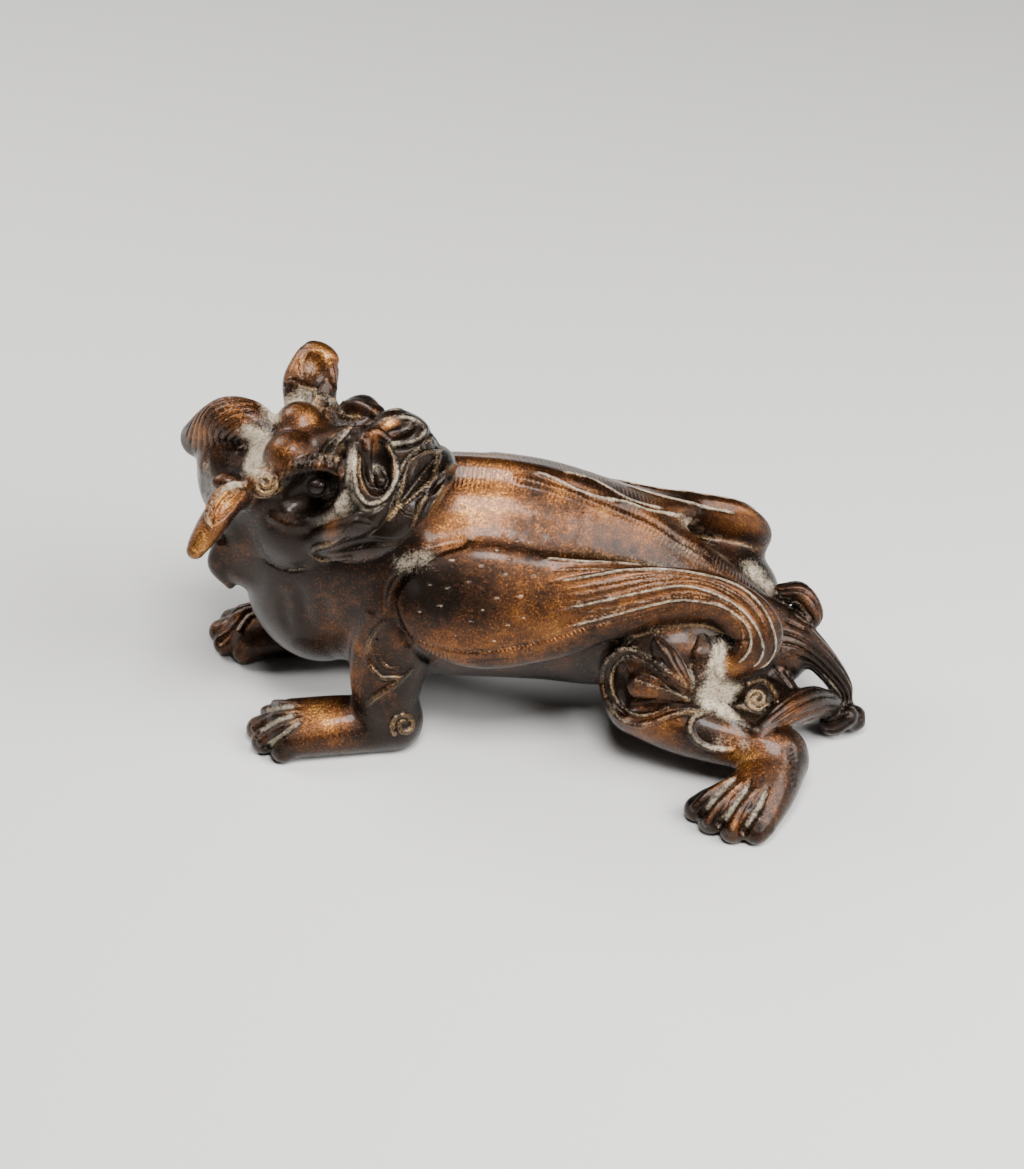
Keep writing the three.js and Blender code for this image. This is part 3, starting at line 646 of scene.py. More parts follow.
# Eggs set where they show, as pits cut into the skin or as knobs raised from it: the centre and a
# second pixel at the end of the long radius, then the other radius and the depth in millimetres
def pressEgg(centre, end, wide, deep, flip=None, blend=0.5, rise=0.0, cut=True, turn=0.0):
    ends = press([centre, end])[0]
    for side, (middle, tip) in enumerate((ends, flip(ends)) if flip else (ends,)):
        facing = unit(slope(middle[None])[1])[0]
        if side == 0:                              # turned towards the camera by a share
            facing = unit(facing * (1 - turn) - viewForward * turn)
        long = unit((tip - middle) - facing * ((tip - middle) @ facing))
        size = np.linalg.norm(ends[1] - ends[0])
        egg(middle + facing * rise, (size, wide, deep), (long, np.cross(facing, long), facing), blend=blend, cut=cut)


# The eyes lie deep in their sockets, and a disc beside each carries the curl of its brow
eye = {
    "socket": ((309, 495), (339, 483), 4.0, 4.6),   # its middle, its end, then its width and depth
    "disc": ((265, 483), (281, 481), 2.8, 0.9),
    "ball": (10.2, 7.4, 1.6),                       # forward, sideways, up from the middle of the head
    "stem": [(9.7, 7.0, 1.4, 1.2), (7.0, 5.1, 0.4, 1.6)],     # holds the ball from behind
    "ballRadii": (2.1, 1.4, 1.5),
}
pressEgg(*eye["socket"], flipHead, blend=1.0)
for s in bothSides:
    headTube([mirrored(row, s) for row in eye["stem"]], blend=0.8)
    headEgg(mirrored(eye["ball"], s), eye["ballRadii"], blend=0.3)
pressEgg(*eye["disc"], flipHead, blend=0.7, rise=0.9, cut=False, turn=0.7)

# The nostrils: a large pit each, a rim round it and a lobe that hangs in from the top
nostrilPits = {
    "left": ((379, 468), (377, 499), 3.0, 3.6),
    "right": ((399, 429), (417, 422), 1.9, 2.2),
}
for pit in nostrilPits.values():
    pressEgg(*pit, blend=0.5)
nose = {
    "leftRim": ([(357, 438), (354, 454), (354, 475), (358, 493), (368.5, 503.5), (380.5, 501.5), (391, 490.5),
                 (396.5, 478), (397.5, 467), (395, 455)],
                (0.5, 0.6, 0.65, 0.75, 0.75, 0.5), {"lift": 0.7, "blend": 0.3}),
    "leftLobe": ([(386, 440), (377, 433.5), (367.5, 437), (365, 449), (365.5, 463), (368, 475), (371, 483)],
                 (0.9, 1.1, 1.2, 1.1, 0.9, 0.7), {"lift": 1.2, "blend": 0.4}),
    "rightRim": ([(375, 427), (382, 420), (396, 417), (408, 417), (418, 421), (426, 428), (421, 437), (408, 443),
                  (393, 442), (384, 436)],
                 (0.6, 0.7, 0.75, 0.7, 0.6), {"lift": 0.6, "blend": 0.4}),
    "rightLobe": ([(383, 431), (389, 425), (397, 423)], (0.6, 0.9, 1.0), {"lift": 1.0, "blend": 0.4}),
    "lipCrest": ([(431, 436), (422, 448), (410.5, 457), (405, 469), (402, 485), (397.5, 502), (390, 518)],
                 (0.5, 0.62, 0.5), {"lift": 1.0, "blend": 0.35, "both": True}),
    "lowCrest": ([(439, 455), (437, 466), (432, 480), (425, 495), (417, 513), (411, 528)],
                 (0.4, 0.6, 0.4), {"lift": 1.0, "blend": 0.35, "both": True}),
    "outerCrest": ([(447, 466), (445, 478), (440, 490), (433, 503), (425, 517)], (0.3, 0.5, 0.3),
                   {"lift": 1.0, "blend": 0.35, "both": True}),
    "cornerRim": ([(351, 557), (340, 558.5), (328, 559.5), (317, 558.5), (313, 553), (316, 547), (329, 544),
                   (341, 538), (348, 530)],
                  (0.3, 0.5, 0.5, 0.5, 0.3), {"lift": 0.9, "blend": 0.4, "both": True}),
    "slit": ([(320, 553), (334, 550), (350, 545), (368, 542), (388, 543), (404, 541)],
             (0.35, 0.8, 0.8, 0.5), {"lift": 1.2, "blend": 0.5, "cut": True, "both": True}),
    "innerPearl": ([(376, 471), (381, 482)], (1.0, 1.15), {"lift": 1.4, "blend": 0.3}),
    "cornerFold": ([(350, 527), (355, 522), (366, 523), (377, 526)], (0.5, 0.6, 0.4),
                   {"lift": 0.5, "blend": 0.5, "both": True}),
}
layRopes(nose, flipHead)

# Round the eye: a smooth ridge below, a combed brow above that rolls into a curl, and three long
# hairs. A lock lies at the root of each ear, and the ears are hollow.
brow = {
    "lowerLid": ([(273, 517), (288, 523), (309, 525), (325, 520), (338, 511), (345, 497), (348, 478), (350, 458),
                  (351, 441)],
                 (0.7, 1.1, 1.4, 1.4, 1.1, 0.8), {"lift": 0.5, "blend": 1.2, "both": True}),
    "browRidge": ([(277, 478), (288, 471), (303, 465), (318, 464), (334, 468)],
                  (0.7, 1.2, 1.2, 0.8), {"lift": 0.5, "blend": 0.8, "both": True}),
    "hairFirst": ([(321, 465), (323, 453), (330, 442), (339, 435)], (0.5, 0.85, 0.5), {"lift": 1.3, "blend": 0.25}),
    "hairSecond": ([(329, 467), (330, 454), (338, 440), (350, 429)], (0.6, 1.0, 0.5), {"lift": 1.3, "blend": 0.25}),
    "hairThird": ([(337, 467), (338, 456), (344, 446), (351, 437)], (0.5, 0.65, 0.35), {"lift": 1.3, "blend": 0.3}),
    "curl": (curlPixels((265, 483), 12.5, 1.5, -0.5), (0.5, 0.6, 0.6, 0.55),
             {"lift": 1.3, "blend": 0.08, "both": True}),
    "farBrow": ([(347, 404), (357, 403), (368, 407), (378, 416)], (0.8, 1.1, 0.8), {"lift": 0.5, "blend": 0.5}),
    "rightEarLock": ([(277, 389), (287, 384), (300, 385), (314, 389)], (0.8, 1.3, 1.2, 0.7),
                     {"lift": 0.9, "blend": 0.4}),
}
layRopes(brow, flipHead)
browHairs = {
    "radii": (0.3, 0.42, 0.25),
    "from": [(279, 481), (303, 471), (322, 469)],
    "to": [(284, 467), (307, 457), (325, 456)],
    "count": 9,
}
hairEnds = zip(*(smoothRows(browHairs[end], browHairs["count"]) for end in ("from", "to")))
browStrands = {i: (ends, browHairs["radii"]) for i, ends in enumerate(hairEnds)}
layRopes(browStrands, flipHead, lift=0.8, blend=0.15, both=True)
earPits = {
    "left": ((229, 501), (213, 526), 1.9, 1.3),
    "right": ((311, 369), (315, 352), 2.8, 2.0),
}
pressEgg(*earPits["left"], blend=0.4, rise=0.2)
pressEgg(*earPits["right"], blend=1.0, rise=0.3)
folds = {
    "leftEar": ([(244, 486), (235, 484), (225, 488), (215.5, 496), (209.5, 507), (208, 518), (211, 528)],
                (0.5, 0.75, 0.75, 0.45), {"lift": 1.0, "blend": 0.3}),
    "rightEar": ([(311, 350), (304, 357), (301, 366), (302, 376)], (0.3, 0.55, 0.45), {"lift": 0.9, "blend": 0.3}),
    "rightEarEdge": ([(331, 362), (332, 374), (334, 384), (338, 394)], (0.5, 0.9, 0.9, 0.5),
                     {"lift": 0.8, "blend": 0.4}),
}
layRopes(folds)

# The haunch: a hollow inside a double rim, a raised drop in it, leaves above and a flame below
haunch = {
    "rimOuter": ([(690, 690), (671, 674), (652, 659.5), (636, 650.5), (619, 651), (607, 661), (602.5, 681),
                  (607.5, 702), (619, 717.5), (636, 724.5), (652, 722.5), (668, 716.5), (685, 712.5), (707, 712.5)],
                 (0.5, 0.7, 0.7, 0.7, 0.5)),
    "rimInner": ([(684, 693), (667, 679), (650, 666), (636, 658), (623, 658), (614, 667), (610.5, 683), (615, 699),
                  (625, 710), (637, 716), (652, 714.5),
                  (668, 709)], (0.3, 0.42, 0.42, 0.42, 0.3), {"blend": 0.2}),
    "leafOne": ([(641, 655), (660, 664), (676, 678), (691, 692)], (0.5, 0.9, 0.8, 0.35)),
    "leafTwo": ([(655, 640), (664, 651), (673, 667), (689, 688)], (0.4, 1.1, 0.9, 0.3), {"lift": 0.9}),
    "petal": ([(703, 638), (704, 652), (701, 668), (695, 689)], (1.0, 2.4, 2.0, 0.5),
              {"lift": 0.8, "blend": 0.3, "flat": 0.55}),
    "tendril": ([(719, 640), (722, 652), (716, 664), (721, 677)], (0.6, 0.7, 0.6),
                {"lift": 0.8, "blend": 0.5, "both": False}),
    "shankRidge": ([(700, 705), (718, 708), (737, 719), (754, 730)], (0.8, 1.3, 1.0), {"lift": 0.5, "blend": 0.8}),
    "flame": ([(707, 712.5), (694, 717), (690, 729), (696.5, 741), (711, 748), (731, 750.5)], (0.6, 0.75, 0.6),
              {"lift": 0.9, "blend": 0.3}),
    "curl": (curlPixels((757, 699), 12, 1.6, 0.5), (0.5, 0.55, 0.5), {"lift": 1.1, "blend": 0.1}),
    "strandOne": ([(748, 684), (761, 680), (772, 689), (777, 702)], (0.5, 0.65, 0.5), {"blend": 0.15}),
}
haunchEggs = {
    "upperHollow": ((621, 688), (619, 660), 2.2, 2.2),
    "lowerHollow": ((645, 707), (622, 708), 1.6, 1.8),
    "petal": ((671, 664), (688, 690), 2.1, 1.3),
}
pressEgg(*haunchEggs["upperHollow"], flipHaunch, blend=0.6)
pressEgg(*haunchEggs["lowerHollow"], flipHaunch, blend=0.6)
pressEgg(*haunchEggs["petal"], flipHaunch, blend=0.3, rise=0.3, cut=False)
layRopes(haunch, flipHaunch, lift=1.0, blend=0.25, both=True)
drop = {
    "body": ([(637.5, 685), (652, 688), (668, 694), (690, 701)], (2.5, 2.2, 1.5, 0.5),
             {"lift": 0.85, "blend": 0.3, "flat": 0.8, "both": True}),
}
layRopes(drop, flipHaunch)

# The toes: long ridges from the ankle, parted by deep grooves
toes = {
    "hindFirst": ([(730, 779), (710, 791), (695, 807)], (0.5, 0.9, 0.9)),
    "hindSecond": ([(741, 783), (722, 801), (707, 822)], (0.5, 0.9, 0.9)),
    "hindThird": ([(755, 790), (741, 808), (731, 830)], (0.5, 0.9, 0.9)),
    "foreFirst": ([(296, 703), (272, 703), (253, 708)], (0.5, 0.8, 0.9), {"both": True}),
    "foreSecond": ([(297, 711), (274, 716), (255, 728)], (0.5, 0.8, 0.9), {"both": True}),
    "foreThird": ([(300, 719), (279, 729), (261, 742)], (0.5, 0.8, 0.9), {"both": True}),
}
grooves = {
    "hindOne": ([(738, 775), (724, 789), (703, 813)], (0.3, 0.7, 0.8)),
    "hindTwo": ([(750, 781), (740, 799), (721, 824)], (0.3, 0.8, 0.8)),
    "hindThree": ([(768, 787), (757, 810), (743, 831)], (0.3, 0.8, 0.8)),
    "foreOne": ([(298, 706), (274, 709), (251, 717)], (0.3, 0.7, 0.8), {"both": True}),
    "foreTwo": ([(300, 714), (277, 721), (257, 734)], (0.3, 0.7, 0.8), {"both": True}),
    "foreThree": ([(303, 720), (286, 732), (266, 746)], (0.3, 0.8, 0.8), {"both": True}),
}
layRopes(grooves, flipForeleg, lift=1.2, blend=0.5, cut=True)
layRopes(toes, flipForeleg, lift=0.7, blend=0.3)

# The forelegs: two flames, and a curl at the elbow
foreleg = {
    "upperFlame": ([(383, 622), (370, 640), (368, 660), (381, 677), (401, 677)], (0.4, 0.7, 0.5)),
    "lowerFlame": ([(367, 705), (378, 695), (397, 683), (412, 668)], (0.4, 0.7, 0.4)),
    "middleFlame": ([(377, 640), (378, 655), (388, 667), (400, 668)], (0.3, 0.5, 0.3)),
    "curl": (curlPixels((404, 725), 13, 1.5, 2.4), (0.5, 0.55, 0.4), {"lift": 1.0, "blend": 0.12}),
    "frontRidge": ([(370, 616), (358, 640), (353, 668), (354, 688)], (0.8, 1.3, 0.9), {"lift": 0.35, "blend": 1.2}),
    "ankle": ([(336, 688), (344, 682), (352, 684)], (0.7, 1.0, 0.7), {"lift": 0.6, "blend": 0.5}),
}
layRopes(foreleg, flipForeleg, lift=0.9, blend=0.3, both=True)

# The lobe of the wing stands off the shoulder all round
shoulder = {
    "wingEdge": ([(462, 545), (438, 552), (415, 565), (398, 582), (391, 600), (394, 619), (408, 643), (432, 660)],
                 (0.3, 0.9, 1.1, 0.8)),
}
layRopes(shoulder, lift=1.0, blend=0.9, cut=True)
print("carving laid on:", len(forms), "forms")


# Fine relief raises or lowers the skin along its normal. A stroke gives depth * exp(-(d / width)²) at
# the distance d from its line, fading out at both ends.
class Stroke:
    def __init__(self, path, depth, width, taper=0.2, pale=0.0):
        self.path, self.depth, self.width, self.taper, self.pale = path, depth, width, taper, pale
        self.low, self.high = path.min(0) - 3 * width, path.max(0) + 3 * width

    # the height, and how pale it is there: dust, and on raised lines partly a painted highlight
    def mark(self, points):
        where = nearestOnPath(points, self.path)
        reach = np.linalg.norm(points - between(self.path, where), axis=1)
        share = where / (len(self.path) - 1)
        shape = np.exp(-(reach / self.width) ** 2) * ease(share, 0, self.taper) * ease(1 - share, 0, self.taper)
        return np.column_stack([self.depth * shape, self.pale * shape])


# Grooves that run along a tube and may twist round it: -depth * exp(-(sin(n angle / 2) / width)²)
class Flutes:
    def __init__(self, shape, count, depth, twist=0.0, span=(0, 99), width=0.4, pale=0.0):
        self.shape, self.count, self.depth, self.twist = shape, count, depth, twist
        self.span, self.width, self.pale = span, width, pale
        self.low, self.high = shape.low - 0.5, shape.high + 0.5

    def mark(self, points):
        place, x, y, z, a, b = self.shape.locate(points)
        k = np.sqrt((x / a) ** 2 + (y / b) ** 2)
        phase = np.arctan2(y / b, x / a) * self.count + self.twist * place
        on = 1 - ease(np.abs(k - 1) * np.minimum(a, b), 0.25, 0.7)
        on *= ease(place, self.span[0], self.span[0] + 0.4) * ease(-place, -self.span[1], 0.4 - self.span[1])
        shape = np.exp(-(np.sin(phase / 2) / self.width) ** 2) * on
        return np.column_stack([-self.depth * shape, self.pale * shape])


relief = []
drawnStrokes = []


# A stroke waits here until all are thrown onto the skin together
def stroke(pixels, depth, width, flip=None, taper=0.2, pale=0.0):
    drawnStrokes.append((np.asarray(pixels, float), depth, width, taper, pale, flip))


# Short strokes side by side, from the first line to the second
def comb(first, second, count, depth, width, flip=None, taper=0.3, pale=0.0):
    for ends in zip(smoothRows(first, count), smoothRows(second, count)):
        stroke(ends, depth, width, flip, taper, pale)


def throwStrokes():
    lines = pressLines([row[0] for row in drawnStrokes], apart=1.2)
    rows = [(line, *row[1:]) for line, row in zip(lines, drawnStrokes) if len(line) > 1]
    relief.extend(Stroke(*row[:5]) for row in rows)
    for flip in dict.fromkeys(row[5] for row in rows if row[5]):
        same = [row for row in rows if row[5] == flip]
        for line, row in zip(splitLike(flip(np.vstack([row[0] for row in same])), [row[0] for row in same]), same):
            relief.append(Stroke(line, *row[1:5]))


# How far the fine relief raises or lowers each point of the skin, and how pale it is: dust, and on some raised lines
# a painted highlight
def reliefMarks(points):
    low, high = points.min(0), points.max(0)
    marks = np.zeros((len(points), 2))
    for mark in relief:
        if np.any(mark.low > high) or np.any(mark.high < low):
            continue
        near = np.flatnonzero(np.all((points > mark.low) & (points < mark.high), axis=1))
        if len(near):
            height, pale = mark.mark(points[near]).T
            marks[near, 0] += height
            marks[near, 1] = np.maximum(marks[near, 1], pale)
    return marks


def reliefHeight(points):
    return reliefMarks(points)[:, 0]


# Lines cut and raised on the wings, from the top edge down. Both wings have them. The pale along the raised lines is
# partly a painted highlight.
feathers = {
    "lines": [
        [(543, 558), (580, 561.5), (612, 563), (645, 566)],
        [(545, 583), (584, 577), (621, 571), (661, 569.5), (703, 575), (739, 586.5), (762, 607), (773, 630),
         (775, 648), (767, 663), (752, 671)],
        [(548, 612), (587, 604), (621, 596.7), (658, 588.6), (686.5, 586), (715, 593.7), (740, 608), (756, 627),
         (763, 646), (759, 661), (747, 670)],
        [(553, 630), (590, 621), (625, 612), (656, 604), (682, 600), (715, 604), (733.5, 613), (748, 627), (751, 645),
         (743, 659), (735, 664)],
    ],
    "fine": [
        [(556, 598), (601, 590), (651, 580.5), (690, 577.5), (720, 585), (748, 602), (763, 624)],
        [(560, 591), (605, 583), (658, 575), (703, 580), (736, 594), (758, 614), (768, 638)],
        [(555, 606), (611, 596), (652, 585.5), (690, 581.5), (719, 588), (742, 603)],
        [(560, 617), (600, 609.5), (627, 605), (666, 595.7), (690, 592.7), (719, 598.8), (740, 613), (751, 629),
         (757, 648)],
        [(565, 623), (610, 612.5), (650, 600.5), (690, 596.5), (715, 601)],
        [(729, 613), (739, 623), (743.5, 638), (738, 654)],
        [(550, 571), (590, 569), (640, 571), (680, 572.5)],
    ],
    "band": [(397, 622), (404, 632), (420, 641), (440, 648), (468, 652), (498, 650), (541, 641.5), (578, 629.5),
             (607, 623), (637, 618), (664, 610.5), (694, 609)],
    "raised": (0.34, 0.3),                          # height and width, below 0 where it is cut
    "fineRaised": (0.16, 0.26),
    "bandCut": (-0.25, 0.4),
}
for line in feathers["lines"]:
    stroke(line, *feathers["raised"], flipWing, 0.08, 1.0)
for line in feathers["fine"]:
    stroke(line, *feathers["fineRaised"], flipWing, 0.1, 0.55)
stroke(feathers["band"], *feathers["bandCut"], flipWing, 0.08, 0.45)

# Lines of the far wing, pale partly as a painted highlight, and the ridge along the spine with a groove beside it
farWing = [
    [(531, 470.5), (548, 476), (563, 482.5), (575, 488), (600, 497), (627, 502.5), (647, 510), (667, 513.5),
     (690, 517)],
    [(557, 471.5), (573, 474), (593, 480), (607, 487), (620, 495), (633, 501), (650, 506), (668, 510)],
    [(623, 485), (643, 491), (660, 496), (677, 500), (692, 503.5), (710, 508), (722, 510), (743, 515)],
]
spineRidge = {
    "line": [(508, 478), (525, 480), (550, 487), (572, 494), (593, 503), (617, 513), (642, 523), (660, 533),
             (680, 547), (700, 558), (718, 570)],
    "raised": (0.5, 0.75),
    "grooveCut": (-0.4, 0.7),
    "grooveShift": (3, -6),                         # in pixels, from the third point of the ridge on
}
for line in farWing:
    stroke(line, 0.3, 0.36, None, 0.1, 1.0)
stroke(spineRidge["line"], *spineRidge["raised"], None, 0.12, 0.25)
stroke(np.add(spineRidge["line"][2:], spineRidge["grooveShift"]), *spineRidge["grooveCut"], None, 0.12, 0.3)

# Dashes punched into the lobe of the wing, where they show in the photo and between those
dashes = {
    "places": [(472, 540), (497, 550), (517, 541), (482, 565), (506, 574), (469, 582), (497, 598), (440, 606),
               (471, 622), (494, 641), (463, 507), (452, 560), (430, 585), (521, 596), (455, 636), (524, 618),
               (448, 588), (483, 610), (510, 560), (534, 575), (420, 612), (508, 625)],
    "cut": (-0.2, 0.2),
    "lean": (-0.8, 1.2),                            # both in pixels, from the middle of a dash to its end
    "long": (3.2, 4.8),
}
chance = np.random.default_rng(11)
for x, y in dashes["places"]:
    lean, long = chance.uniform(*dashes["lean"]), chance.uniform(*dashes["long"])
    stroke([(x - long, y - lean), (x + long, y + lean)], *dashes["cut"], flipWing, 0.35, 0.95)

# Grooves on the horn and the tail: how many, the depth and twist, the rows where they begin and end,
# the width and the pale dust
flutes = {
    "horn": (14, 0.32, 16.0, (0.9, 3.9), 0.5, 0.25),
    "bundle": (13, 0.5, 0.6, (0.3, 4.4), 0.45, 0.35),
    "hook": (7, 0.3),
    "nearLock": (9, 0.4, 0.5, (0, 2.8), 0.45, 0.3),
    "strand": (8, 0.3, 0.3, (0, 99), 0.45, 0.4),
    "farCurl": (6, 0.3, 0.4),
}
for name, row in flutes.items():
    relief.append(Flutes({"horn": hornTube, **tailTubes}[name], *row))

# Combed strokes on the nape and the hock
combs = {
    "nape": ([(200, 470), (201, 496), (207, 520)], [(209, 452), (212, 480), (215, 506)], 9, -0.35, 0.4, flipHead),
    "hock": ([(783, 750), (789, 766), (791, 786)], [(796, 745), (798, 762), (796, 784)], 8, -0.22, 0.3),
}
for row in combs.values():
    comb(*row, pale=0.3)

# Single lines: the pixels, the depth and width, the flip to the far side, the taper and the pale dust
carvedLines = {
    "leftEarGroove": ([(243, 489), (230, 495), (220, 505), (215.5, 516), (216, 526)], -0.3, 0.45, None, 0.3),
    "lipGroove": ([(427, 438), (418, 450), (407, 459), (401.5, 471), (398.5, 485), (394, 500), (387, 515)],
                  -0.35, 0.4, flipHead, 0.1, 0.5),
    "lowLipGroove": ([(442, 462), (441, 474), (436, 488), (429, 503), (421, 519)], -0.3, 0.4, flipHead, 0.15, 0.2),
    "nostrilGroove": ([(350, 445), (349, 462), (350.5, 480), (354, 498), (364, 509.5), (380, 508), (393, 498)],
                      -0.35, 0.4, flipHead, 0.12, 0.8),
    "jawEdge": ([(258, 556), (270, 564), (283, 569.5), (297, 571), (312, 567)], -0.35, 0.4, None, 0.2, 0.6),
    "chestFoldOne": ([(283, 585), (284, 610), (290, 636)], -0.3, 1.1, None, 0.3, 0.15),
    "chestFoldTwo": ([(300, 580), (303, 606), (312, 634)], -0.3, 1.1, None, 0.3, 0.15),
    "chestFoldThree": ([(322, 590), (327, 615), (334, 640)], -0.3, 1.1, None, 0.3, 0.15),
    "haunchGroove": ([(686, 697), (668, 681), (650, 667), (636, 657.5), (621, 658), (612, 666), (608, 682),
                      (613, 700), (623, 712), (637, 718), (652, 716), (668, 710),
                      (688, 706)], -0.35, 0.5, flipHaunch, 0.08, 0.2),
    "dropCrease": ([(631, 679), (650, 685), (670, 692), (690, 699.5)], 0.35, 0.5, flipHaunch, 0.1, 0.5),
}
for row in carvedLines.values():
    stroke(*row)

# Lines that only add pale colour: dust, and a painted highlight on the crests of the ropes round the nose, the eye
# and the haunch
dustAndSheenLines = [
    (nose["leftRim"][0], 0.55, 0.9), (nose["rightRim"][0], 0.5, 0.8), (nose["lipCrest"][0], 0.4, 0.5),
    (nose["lowCrest"][0], 0.4, 0.35), (brow["lowerLid"][0][2:], 0.9, 0.75), (brow["hairFirst"][0], 0.5, 0.5),
    (brow["hairSecond"][0], 0.5, 0.5), (folds["leftEar"][0], 0.5, 0.7), (haunch["rimOuter"][0], 0.4, 0.6),
    (haunch["leafOne"][0], 0.4, 0.5), (haunch["flame"][0], 0.5, 0.7), (haunch["shankRidge"][0], 1.0, 0.5),
    (haunch["curl"][0], 0.4, 0.5), (haunch["tendril"][0], 1.0, 0.9), (haunch["rimInner"][0], 0.4, 0.6),
]
for line, width, pale in dustAndSheenLines:
    stroke(line, 0.0, width, None, 0.1, pale)
for name, row in grooves.items():
    stroke(row[0], 0.0, 0.7, flipForeleg if name.startswith("fore") else None, 0.15, 0.9)
throwStrokes()
print("relief strokes:", len(relief))


# The skin is found on a grid. Cells near it are split in eight down to the finest, each cell that it
# passes through gets one point, the mean of where it crosses the cell's edges, and each crossed edge
# joins the points of its four cells.
def findSkin():
    cell = figure["cell"]
    reach = 8.0
    low = np.min([form.shape.low for form in forms], axis=0) - reach
    high = np.max([form.shape.high for form in forms], axis=0) + reach
    corner = np.array([(i, j, k) for i in (0, 1) for j in (0, 1) for k in (0, 1)])
    size = cell * 8
    counts = np.ceil((high - low) / size).astype(int)
    cells = np.stack(np.meshgrid(*(np.arange(n) for n in counts), indexing="ij"), -1).reshape(-1, 3)
    while size > cell / 2:
        value = everywhere(lambda p: bronze(p, size * 1.6), low + (cells + 0.5) * size)
        cells = cells[np.abs(value) < size * 1.4]
        size /= 2
        if size > cell / 2:
            cells = (cells[:, None] * 2 + corner).reshape(-1, 3)

    span = 4096
    keyOf = lambda c: (c[:, 0] * span + c[:, 1]) * span + c[:, 2]
    moves = np.eye(3, dtype=int)
    active, values, keys = np.zeros((0, 3), int), np.zeros((0, 8)), np.zeros(0, int)
    while len(cells):                               # until no crossed edge lacks one of its four cells
        nodeKeys, nodeOf = np.unique(keyOf((cells[:, None] + corner).reshape(-1, 3)), return_inverse=True)
        nodes = np.stack([nodeKeys // span ** 2, nodeKeys // span % span, nodeKeys % span], -1)
        value = everywhere(bronze, low + nodes * cell)[nodeOf.reshape(-1, 8)]
        crossed = (value < 0).any(1) & ~(value < 0).all(1)
        active, values = np.vstack([active, cells[crossed]]), np.vstack([values, value[crossed]])
        order = np.argsort(keyOf(active))
        active, values = active[order], values[order]
        keys = keyOf(active)
        inside = values < 0
        quads, missing = [], []
        for axis, step in enumerate((4, 2, 1)):
            edge = np.flatnonzero(inside[:, 0] != inside[:, step])
            first, second = moves[(axis + 1) % 3], moves[(axis + 2) % 3]
            ring = [active[edge] - move for move in (0 * first, first, first + second, second)]
            found = np.minimum(np.stack([np.searchsorted(keys, keyOf(c)) for c in ring], 1), len(keys) - 1)
            real = np.stack([keys[found[:, k]] == keyOf(ring[k]) for k in range(4)], 1)
            missing += [ring[k][~real[:, k]] for k in range(4)]
            turn = ~inside[edge, 0]
            found[turn] = found[turn, ::-1]
            quads.append(found[real.all(1)])
        cells = np.unique(np.vstack(missing), axis=0)

    total, hits = np.zeros((len(active), 3)), np.zeros(len(active))
    for a in range(8):
        for step in (4, 2, 1):                      # the corner one further along X, Y or Z
            if a & step:
                continue
            b = a | step
            edge = inside[:, a] != inside[:, b]
            share = values[edge, a] / (values[edge, a] - values[edge, b])
            total[edge] += corner[a] + share[:, None] * (corner[b] - corner[a])
            hits[edge] += 1
    print("skin found:", len(active), "points")
    return low + (active + total / hits[:, None]) * cell, np.vstack(quads)


def newMesh(name, points, faces):
    mesh = bpy.data.meshes.new(name)
    sides = faces.shape[1]
    mesh.vertices.add(len(points))
    mesh.vertices.foreach_set("co", np.ascontiguousarray(points, np.float32).ravel())
    mesh.loops.add(faces.size)
    mesh.loops.foreach_set("vertex_index", faces.astype(np.int32).ravel())
    mesh.polygons.add(len(faces))
    mesh.polygons.foreach_set("loop_start", np.arange(0, faces.size, sides, dtype=np.int32))
    mesh.polygons.foreach_set("loop_total", np.full(len(faces), sides, np.int32))
    mesh.update(calc_edges=True)
    return mesh


# The dense skin with its relief is thinned, most where it is flat
def thin(points, quads):
    dense = bpy.data.objects.new("dense", newMesh("dense", points, quads))
    bpy.context.scene.collection.objects.link(dense)
    modifier = dense.modifiers.new("thin", "DECIMATE")
    modifier.ratio = figure["triangles"] / (2 * len(quads))
    modifier.use_collapse_triangulate = True
    graph = bpy.context.evaluated_depsgraph_get()
    mesh = bpy.data.meshes.new_from_object(dense.evaluated_get(graph))
    bpy.data.objects.remove(dense)
    return mesh


def meshPoints(mesh):
    points = np.zeros(len(mesh.vertices) * 3, np.float32)
    mesh.vertices.foreach_get("co", points)
    return points.reshape(-1, 3).astype(float)


# Only the largest skin stays, without bubbles or crumbs. Each triangle takes the lowest number among
# those that it shares an edge with, until nothing changes, and the commonest number marks the skin.
def largestSkin(mesh):
    points = meshPoints(mesh)
    triangles = np.zeros(len(mesh.polygons) * 3, np.int32)
    mesh.polygons.foreach_get("vertices", triangles)
    triangles = triangles.reshape(-1, 3).astype(int)
    ends = np.sort(np.stack([triangles, np.roll(triangles, -1, axis=1)], -1).reshape(-1, 2), axis=1)
    key, edge, count = np.unique(ends[:, 0] * len(points) + ends[:, 1], return_inverse=True, return_counts=True)
    order = np.argsort(edge.ravel(), kind="stable")
    order = order[(count[edge.ravel()] == 2)[order]] // 3
    one, other = order[::2], order[1::2]
    label = np.arange(len(triangles))
    while True:
        lowest = label.copy()
        np.minimum.at(lowest, one, label[other])
        np.minimum.at(lowest, other, label[one])
        lowest = lowest[lowest]
        if np.array_equal(lowest, label):
            break
        label = lowest
    kept = triangles[label == np.bincount(label).argmax()]
    used, renumbered = np.unique(kept, return_inverse=True)
    return newMesh("pixiu_bronze", points[used], renumbered.reshape(kept.shape))


# The points of the fine grid are put onto the exact skin, so that flat parts are thinned the most
skinPoints, skinQuads = findSkin()
value, gradient = slope(skinPoints)
size = np.maximum(np.linalg.norm(gradient, axis=1, keepdims=True), 0.3)
skinPoints -= gradient / size * np.clip(value[:, None] / size, -0.15, 0.15)
skinPoints += gradient / size * everywhere(reliefHeight, skinPoints)[:, None]
mesh = largestSkin(thin(skinPoints, skinQuads))
print("skin thinned to", len(mesh.polygons), "triangles")

